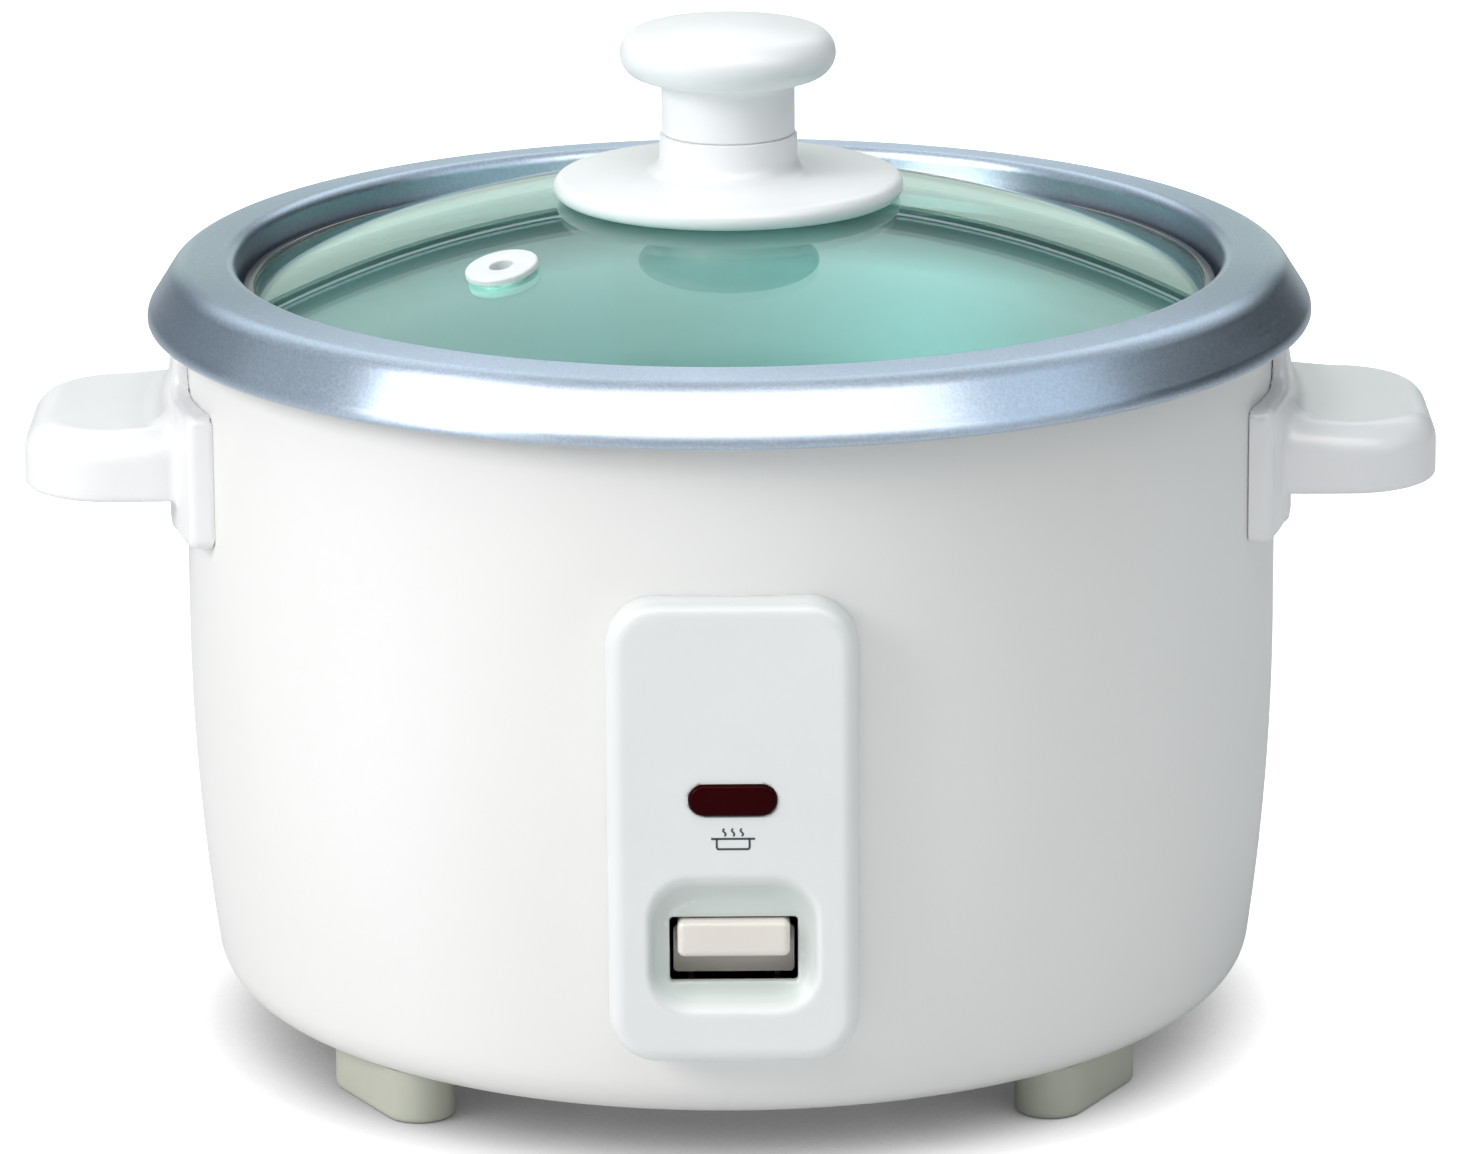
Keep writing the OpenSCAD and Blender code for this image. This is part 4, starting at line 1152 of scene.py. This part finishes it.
    def build_knob(self) -> None:
        """Builds the knob and the wide base under it."""
        low, high, neck = self.base_low, self.base_top, self.neck_r
        foot, roof, turn = self.at(0.0) + self.clearance, high - self.base_roof, self.base_fillet
        base = ([(self.bore, high), (self.bore, foot), (self.base_bore, foot),
                 (self.base_bore, roof), (neck - 2.0, roof), (neck + 2.0, low + 2.8),
                 (self.base_r - 4.0, low + 1.6), (self.base_r - 4.0, low + 0.4),
                 (self.base_r - self.base_edge, low)]
                + arc(self.base_r - self.base_edge, low + self.base_edge, self.base_edge,
                      -80, 80, 16)
                + arc(neck + turn + 0.5, low + self.base_edge + turn + 3.0, turn, 265, 180, 14)
                + [(neck + 0.5, high - self.groove), (neck + 0.15, high)])
        fit_out(revolved("knob_skirt", base, 192, 30.0), "lid", "white_plastic", "gloss_white",
                "knob_base")
        start, top, edge = self.knob_low, self.knob_top, self.grip_edge
        flat, crown, deep = self.grip_r - edge, self.grip_crown, start + self.bore_deep
        grip = ([(0.0, deep), (self.bore, deep), (self.bore, start),
                 (neck - self.groove, start), (neck, start + self.groove)]
                + arc(neck + self.neck_fillet, top - 4.8 - 2 * edge, self.neck_fillet,
                      180, 95, 14)
                + arc(flat, top - crown - edge, edge, -90, 76, 28)
                + [(flat * i / 16, top - crown * (i / 16) ** 2) for i in range(15, -1, -1)])
        fit_out(revolved("knob_grip", grip, 192, 30.0), "lid", "white_plastic", "gloss_white",
                "knob")

    def build(self) -> None:
        """Builds the lid's pieces."""
        self.build_glass()
        self.build_band()
        self.build_knob()
        self.build_vent()
        dress("screw", "lid_screw")
        dress("band", "lid_washer")


@dataclass
class Handles:
    """The two side handles, each a hollow grip on a saddle that fits the drum."""

    drum_r: float = DRUM_R
    root: float = 13.0
    reach: float = 145.4
    width: float = 61.0
    low: float = 118.0
    height: float = 16.5
    fall: float = 2.5
    wall: float = 2.6
    end_r: float = 19.0
    top_r: float = 6.5
    mouth_r: float = 1.2
    saddle_w: float = 85.0
    saddle_top: float = 139.0
    saddle_low: float = 111.0
    saddle_t: float = 3.4
    saddle_r: float = 137.8
    saddle_corner: float = 2.5
    saddle_edge: float = 1.4
    shoulder: float = 6.0
    tab: float = 10.0
    tab_w: float = 43.0
    tab_corner: float = 3.0
    tab_lean: float = 1.6
    screw_y: float = 19.0
    screw_z: float = 126.25
    fillet: float = 7.0
    join: float = 2.0
    fillet_from: float = 127.0
    fillet_full: float = 133.0
    fillet_half: float = 30.0
    fillet_fade: float = 8.0
    rib: float = 0.8
    boss_r: float = 4.0
    boss_l: float = 14.0
    grid: float = 0.6
    room: float = 1.5

    def grip(self, x: np.ndarray, y: np.ndarray, z: np.ndarray, wall: float) -> np.ndarray:
        """Distance to the grip's block, whose top falls outwards, shrunk by wall and open below."""
        root = self.drum_r - self.root
        middle = (self.reach + root) / 2
        plan = oblong(x - middle, y, self.reach - root - 2 * wall, self.width - 2 * wall,
                      self.end_r - wall)
        way = np.clip((x - root) / (self.reach - self.end_r - root), 0.0, 1.0)
        top = z - (self.low + self.height - self.fall * way - wall)
        body = rounded(plan, top, self.top_r - wall / 2)
        return body if wall > 0.0 else rounded(body, self.low - z, self.mouth_r)

    def saddle(self, x: np.ndarray, y: np.ndarray, z: np.ndarray) -> np.ndarray:
        """Distance to the saddle, whose middle rises above its shoulders and thins upwards."""
        tall = self.saddle_top - self.saddle_low
        band = oblong(y, z - (self.saddle_top + self.saddle_low) / 2, self.saddle_w, tall,
                      self.saddle_corner)
        middle = oblong(y, z - (self.saddle_top + self.tab + self.saddle_low) / 2, self.tab_w,
                        tall + self.tab, self.tab_corner)
        outline = soft_min(band, middle, self.shoulder)
        lean = self.tab_lean / self.tab * np.clip(z - self.saddle_top, 0.0, self.tab)
        outer = np.hypot(x - self.drum_r - self.saddle_t + self.saddle_r, y) - self.saddle_r + lean
        return rounded(outer, outline, self.saddle_edge)

    def shape(self, x: np.ndarray, y: np.ndarray, z: np.ndarray) -> np.ndarray:
        """Distance to the whole handle on the +X side."""
        upper = (np.clip((z - self.fillet_from) / (self.fillet_full - self.fillet_from), 0.0, 1.0)
                 * np.clip((self.fillet_half - np.abs(y)) / self.fillet_fade, 0.0, 1.0))
        body = soft_min(self.grip(x, y, z, 0.0), self.saddle(x, y, z),
                        self.join + (self.fillet - self.join) * upper)
        hollow = np.maximum(self.grip(x, y, z, self.wall), self.drum_r + self.saddle_t - 0.4 - x)
        ribs = np.minimum(np.abs(y), np.abs(np.abs(y) - self.screw_y / 2)) - self.rib
        side = np.abs(y) - self.screw_y
        bosses = np.minimum(np.hypot(side, z - self.screw_z) - self.boss_r,
                            np.maximum(np.abs(side) - self.rib, self.screw_z - z))
        bosses = np.maximum(bosses, x - self.drum_r - self.boss_l)
        inner = np.minimum(np.maximum(ribs, self.low + 1.0 - z), bosses)
        body = np.maximum(body, -np.maximum(hollow, -inner))
        return np.maximum(body, self.drum_r + 0.05 - np.hypot(x, y))

    def build(self) -> None:
        """Builds both handles from one shape."""
        low = (self.drum_r - 10.0, -self.saddle_w / 2 - self.room, self.saddle_low - self.room)
        high = (self.reach + self.room, self.saddle_w / 2 + self.room,
                self.saddle_top + self.tab + self.room)
        right = carved("grip_right", self.shape, low, high, self.grid)
        left = carved("grip_left", lambda x, y, z: self.shape(-x, y, z),
                      (-high[0], low[1], low[2]), (-low[0], high[1], high[2]), self.grid)
        fit_out(right, "root", "white_plastic", "handle_white", "right_handle")
        fit_out(left, "root", "white_plastic", "handle_white", "left_handle")
        dress("screw", "handle_screws")


@dataclass
class Panel:
    """The control panel with its lens, lamp and printed sign."""

    face: float = 118.0
    drum_r: float = DRUM_R
    bow_start: float = BOW_START
    bow_r: float = BOW_R
    width: float = 49.2
    height: float = 94.2
    middle: float = 73.0
    corner: float = 10.0
    edge: float = 3.4
    wall: float = 2.0
    dish_w: float = 33.7
    dish_h: float = 28.5
    dish_z: float = 50.35
    dish_d: float = 3.0
    dish_side: float = 0.55
    dish_fall: float = 1.5
    dish_corner: float = 8.5
    dish_edge: float = 0.35
    window_w: float = 25.2
    window_h: float = 13.2
    window_z: float = 48.85
    window_corner: float = 0.8
    window_edge: float = 0.5
    lens_w: float = 17.4
    lens_h: float = 6.4
    lens_z: float = 80.2
    lens_gap: float = 0.1
    lens_edge: float = 0.3
    clearance: float = 0.05
    sign_z: float = 72.4
    sign_line: float = 0.42
    steam_line: float = 0.34
    sign_ink: float = 0.05
    grid: float = 0.5
    room: float = 1.5

    def drum_at(self, z: np.ndarray) -> np.ndarray:
        """Radius of the drum's face at height z."""
        down = np.maximum(self.bow_start - z, 0.0)
        return self.drum_r - self.bow_r + np.sqrt(self.bow_r ** 2 - down ** 2)

    def shape(self, x: np.ndarray, y: np.ndarray, z: np.ndarray) -> np.ndarray:
        """Distance to the panel's moulding."""
        up = z - self.middle
        front = -y - self.face
        outer = rounded(oblong(x, up, self.width, self.height, self.corner), front, self.edge)
        t = self.wall
        inner = rounded(oblong(x, up, self.width - 2 * t, self.height - 2 * t, self.corner - t),
                        front + t, self.edge - 1.0)
        depth = np.clip(-front, 0.0, self.dish_d)
        mouth = oblong(x, z - self.dish_z, self.dish_w - 2.0 * self.dish_side * depth,
                       self.dish_h - 2.0 * self.dish_fall * depth, self.dish_corner)
        lean = math.hypot(1.0, self.dish_side)
        dish = rounded(mouth / lean, -front - self.dish_d, 1.0)
        back = np.maximum(mouth / lean - t, -front - self.dish_d - t)
        shell = np.maximum(outer, -np.maximum(inner, -back))
        shell = soft_max(shell, -dish, self.dish_edge)
        window = oblong(x, z - self.window_z, self.window_w, self.window_h, self.window_corner)
        shell = soft_max(shell, -window, self.window_edge)
        lens = oblong(x, z - self.lens_z, self.lens_w + self.lens_gap,
                      self.lens_h + self.lens_gap, self.lens_h / 2)
        shell = soft_max(shell, -lens, self.lens_edge)
        return np.maximum(shell, self.drum_at(z) + self.clearance - np.hypot(x, y))

    def build_sign(self) -> None:
        """Prints a small sign of a steaming pot under the lens."""
        pot = [[(-3.2, -1.9), (-2.9, -2.1), (2.9, -2.1), (3.2, -1.9)], [(-3.2, -1.9), (-3.2, 0.0)],
               [(3.2, -1.9), (3.2, 0.0)], [(-4.3, 0.0), (4.3, 0.0)]]
        steam = [[(x + 0.28 * math.sin(t * math.pi / 3), 0.55 + 1.55 * t / 6) for t in range(7)]
                 for x in (-1.7, 0.0, 1.7)]
        strokes = [(line, self.sign_line) for line in pot] + [(line, self.steam_line)
                                                              for line in steam]
        points, faces = [], []
        for path, width in strokes:
            left, right = beside(path, width / 2), beside(path, -width / 2)
            base = len(points)
            for lift in (self.sign_ink, 0.0):
                for a, b in left + right[::-1]:
                    points.append((a, -(self.face + lift), self.sign_z + b))
            n = len(left) * 2
            faces.append([base + i for i in range(n)][::-1])
            faces.append([base + n + i for i in range(n)])
            for i in range(n):
                k = (i + 1) % n
                faces.append([base + i, base + k, base + n + k, base + n + i])
        sign = mesh_object("steam_sign", np.array(points) * MM, faces, smooth=False)
        work = bmesh.new()
        work.from_mesh(sign.data)
        bmesh.ops.recalc_face_normals(work, faces=work.faces)
        baked(work, sign.data)
        fit_out(sign, "root", "inlet_black", "ink")

    def build(self) -> None:
        """Builds the panel and dresses its lens and lamp."""
        side, rise = self.width / 2 + self.room, self.height / 2 + self.room
        low = (-side, -self.face - self.room, self.middle - rise)
        high = (side, -104.0, self.middle + rise)
        panel = carved("panel_shell", self.shape, low, high, self.grid)
        fit_out(panel, "root", "white_plastic", "panel_white", "control_panel")
        fit_out(refined("indicator_lens", "lamp_window"), "root", "lens_red", "lens_red",
                "indicator_lens")
        dress("lamp_glass", "indicator_lamp")
        dress("screw", "panel_screws")
        self.build_sign()


@dataclass
class Works:
    """The lever, switch, heater, sensor and inlet."""

    front: float = 117.1
    back: float = 103.6
    width: float = 22.1
    height: float = 7.4
    level: float = 51.45
    edge: float = 1.4
    tongue_w: float = 24.0
    tongue_low: float = 41.7
    tongue_at: float = 106.6
    tongue_t: float = 0.9
    strip_w: float = 11.1
    strip_t: float = 1.7
    strip_end: float = 109.65
    sensor_travel: float = 1.2
    grid: float = 0.4
    room: float = 1.0

    def paddle(self, x: np.ndarray, y: np.ndarray, z: np.ndarray) -> np.ndarray:
        """Distance to the paddle and the tongue that closes the window under it."""
        up = z - self.level
        bar = rounded(oblong(x, up, self.width, self.height, self.edge), -y - self.front,
                      self.edge)
        bar = np.maximum(bar, y + self.back)
        high = self.level - self.tongue_low
        tongue = np.maximum(oblong(x, up + high / 2, self.tongue_w, high, 1.0),
                            np.abs(y + self.tongue_at) - self.tongue_t / 2)
        strip = np.maximum(np.maximum(np.abs(x) - self.strip_w / 2, np.abs(up) - self.strip_t / 2),
                           -y - self.strip_end)
        return np.maximum(soft_min(bar, tongue, 0.3), -strip)

    def build(self) -> None:
        """Builds the paddle and dresses the works."""
        half = self.tongue_w / 2 + self.room
        low = (-half, -self.front - self.room, self.tongue_low - self.room)
        high = (half, -self.back + self.room, self.level + self.height / 2 + self.room)
        paddle = carved("cook_paddle", self.paddle, low, high, self.grid)
        fit_out(paddle, "lever", "paddle_plastic", "paddle_ivory", "lever_paddle")
        dress("zinc", "lever_arm", "lever_bracket", "plate_legs", "sensor_carrier", "fuse_strap")
        dress("screw", "pivot_pin", "leg_screws", "carrier_screws", "magnet_rod", "inlet_screws")
        dress("phenolic", "switch_block", "warm_thermostat")
        dress("brass", "switch_leaves", "inlet_pins")
        dress("cast", "heating_plate")
        dress("sheath", "heating_element")
        dress("cap", "sensor_cap")
        dress("ferrite", "ferrite_disc", "lever_magnet")
        spring = fit_out(refined("sensor_spring", "cap_spring"), "root", "spring_steel",
                         "spring", "sensor_spring")
        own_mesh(spring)
        dress("sleeve", "thermal_fuse")
        dress("inlet_black", "power_inlet")


# ---------- Studio ----------


@dataclass(frozen=True)
class Lamp:
    """One soft box. Directions are in degrees, lengths in metres and power in watts."""

    name: str
    turn: float
    rise: float
    reach: float
    size: tuple[float, float]
    power: float
    color: Color = (1.0, 1.0, 1.0)
    shine: bool = True

    def place(self, aim: Vector) -> Vector:
        """Where the lamp hangs, seen from its aim: turn is 0 in front and grows to the right."""
        turn, rise = math.radians(self.turn), math.radians(self.rise)
        way = Vector((math.sin(turn) * math.cos(rise), -math.cos(turn) * math.cos(rise),
                      math.sin(rise)))
        return aim + self.reach * way

    def build(self, aim: Vector) -> None:
        """Hangs the lamp and turns it to its aim."""
        data = bpy.data.lights.new(self.name, "AREA")
        data.shape = "RECTANGLE"
        data.size, data.size_y = self.size
        data.energy = self.power
        data.color = self.color
        lamp = put(self.name, data)
        lamp.location = self.place(aim)
        lamp.rotation_mode = "QUATERNION"
        lamp.rotation_quaternion = (aim - lamp.location).to_track_quat("-Z", "Y")
        lamp.visible_glossy = self.shine


@dataclass(frozen=True)
class Flag:
    """A dark or pale card that only mirrors show, or glass too. Lengths are in metres."""

    name: str
    middle: tuple[float, float, float]
    size: tuple[float, float]
    turn: float
    grey: float = 0.05
    in_glass: bool = False
    tone: Color = (0.8, 0.91, 1.0)
    soft: float = 0.0

    def faded(self, graph: Graph, card: bpy.types.Node) -> bpy.types.Node:
        """The card's shader, which fades to clear over its soft edges."""
        x, y, z = graph.parts(graph.place())
        turn = math.radians(self.turn)
        along = (x - self.middle[0]) * math.cos(turn) + (y - self.middle[1]) * math.sin(turn)
        half_w, half_h = self.size[0] / 2, self.size[1] / 2
        share = (along.within(-half_w, half_w, self.soft)
                 * (z - self.middle[2]).within(-half_h, half_h, self.soft))
        return graph.merged(share, graph.node("BsdfTransparent"), card)

    def build(self) -> None:
        """Stands the card up, turned about the vertical by its turn in degrees."""
        half_w, half_h = self.size[0] / 2, self.size[1] / 2
        turn = math.radians(self.turn)
        x, y, z = self.middle
        points = [(x + a * half_w * math.cos(turn), y + a * half_w * math.sin(turn), z + b * half_h)
                  for a, b in ((-1, -1), (1, -1), (1, 1), (-1, 1))]
        card = mesh_object(self.name, np.array(points), [[0, 1, 2, 3]], smooth=False)
        made, graph = new_material(self.name + "_felt")
        lit = graph.node("Emission", sockets={
            "Color": (*self.tone, 1.0), "Strength": self.grey})
        graph.surface(self.faded(graph, lit) if self.soft else lit)
        card.data.materials.append(made)
        for ray in ("camera", "diffuse", "transmission", "volume_scatter", "shadow"):
            setattr(card, "visible_" + ray, self.in_glass and ray == "transmission")


@dataclass(frozen=True)
class Studio:
    """The camera, the pale floor, the lamps, the flags and the sky."""

    eye: tuple[float, float, float] = (-0.00006, -1.61956, 0.53199)
    dip: float = 15.154
    roll: float = -0.0069
    lens: float = 198.12
    aim: tuple[float, float, float] = (0.0, 0.0, 0.1)
    sky: Color = (0.91, 0.975, 1.0)
    ambient: float = 0.45
    mirror: float = 0.6
    floor_half: float = 8.0
    floor_paint: float = 0.78
    floor_white: float = 0.12
    contact: float = 0.028
    contact_power: float = 1.2
    contact_gain: float = 1.5
    lamps: tuple[Lamp, ...] = (
        Lamp("key_box", -60.0, 28.0, 2.1, (0.9, 0.9), 24.0, (1.0, 0.985, 0.99)),
        Lamp("crest_box", 0.0, 52.0, 1.9, (1.3, 0.8), 3.0),
        Lamp("front_box", 6.0, 6.0, 2.2, (1.4, 0.9), 2.0, shine=False),
        Lamp("top_box", 0.0, 80.0, 1.5, (1.1, 1.1), 8.0, shine=False),
    )
    flags: tuple[Flag, ...] = (
        Flag("flag_right", (1.8, 1.6, 0.5), (4.6, 1.5), 97.0, 0.02),
        Flag("flag_left", (-1.8, 2.4, 0.5), (3.2, 1.3), 83.0, 0.25),
        Flag("flag_front", (0.0, -2.3, 0.35), (4.0, 0.7), 0.0, 0.1),
        Flag("card_high", (0.0, 2.4, 2.6), (4.6, 2.9), 0.0, 1.8, tone=(0.88, 0.95, 0.97), soft=0.7),
        Flag("flag_high", (0.0, 2.7, 1.275), (4.4, 0.27), 0.0, 0.16, True),
        Flag("line_back", (0.0, 2.7, 1.12), (4.4, 0.04), 0.0, 1.3, True),
        Flag("flag_low", (0.0, 2.7, 1.02), (4.4, 0.15), 0.0, 0.03, True),
        Flag("card_back", (0.0, 2.75, 0.45), (2.0, 1.02), 0.0, 0.8, tone=(0.88, 1.0, 0.93)),
        Flag("card_front", (0.0, -1.2, 1.66), (3.8, 1.3), 0.0, 4.2, tone=(1.0, 0.95, 0.9)),
        Flag("card_right", (1.55, -0.95, 1.3), (1.6, 1.4), 75.0, 1.4),
    )

    def camera(self) -> None:
        """Sets up the camera."""
        data = bpy.data.cameras.new("camera")
        data.lens = self.lens
        data.sensor_width = 36.0
        data.clip_start, data.clip_end = 0.05, 50.0
        camera = put("camera", data)
        camera.location = self.eye
        camera.rotation_mode = "QUATERNION"
        camera.rotation_quaternion = (Quaternion((1, 0, 0), math.radians(90.0 - self.dip))
                                      @ Quaternion((0, 0, 1), self.roll))
        bpy.context.scene.camera = camera

    def floor(self) -> None:
        """Lays the floor, which is white to the camera but for the cooker's shadow."""
        half = self.floor_half
        corners = [(-half, -half, 0), (half, -half, 0), (half, half, 0), (-half, half, 0)]
        floor = mesh_object("floor", np.array(corners), [[0, 1, 2, 3]], smooth=False)
        made, graph = new_material("floor_white")
        near = graph.node("AmbientOcclusion", {"samples": 12}, {"Distance": self.contact})
        shade = graph.out(near, "AO") ** self.contact_power * self.contact_gain
        paint = graph.node("BsdfDiffuse", sockets={"Color": (*[self.floor_paint] * 3, 1.0)})
        lit = graph.node("BsdfDiffuse", sockets={"Color": (*[self.floor_white] * 3, 1.0)})
        glow = graph.node("Emission", sockets={"Color": graph.vector(shade, shade, shade)})
        bright = graph.node("AddShader", sockets={0: lit, 1: glow})
        seen = graph.out(graph.node("LightPath"), "Is Camera Ray")
        graph.surface(graph.merged(seen, paint, bright))
        floor.data.materials.append(made)

    def world(self) -> None:
        """Paints the sky: white to the camera and to glass, the sky's colour at the mirror level to
        metal, and a soft ambient light elsewhere.
        """
        scene = bpy.context.scene
        scene.world = bpy.data.worlds.new("studio")
        scene.world.use_nodes = True
        graph = Graph(scene.world.node_tree)
        rays = graph.node("LightPath")
        seen = (graph.out(rays, "Is Camera Ray") + graph.out(rays, "Is Transmission Ray")).unit()
        level = graph.out(rays, "Is Glossy Ray") * (self.mirror - self.ambient) + self.ambient
        soft = graph.node("Background", sockets={0: (*self.sky, 1.0), 1: level})
        back = graph.node("Background", sockets={0: (1.0, 1.0, 1.0, 1.0), 1: 1.0})
        graph.surface(graph.merged(seen, soft, back))

    def build(self) -> None:
        """Sets the whole studio up."""
        self.camera()
        self.floor()
        self.world()
        for flag in self.flags:
            flag.build()
        for lamp in self.lamps:
            lamp.build(Vector(self.aim))
        bpy.context.scene.view_settings.view_transform = "Standard"


def main() -> None:
    """Builds the cooker's sub-assemblies in order, then the studio."""
    logging.basicConfig(level=logging.INFO, format="%(message)s")
    for part in (Drum(), Pot(), Lid(), Handles(), Panel(), Works(), Studio()):
        part.build()
        LOG.info("%s done", type(part).__name__)


if __name__ == "__main__":
    main()
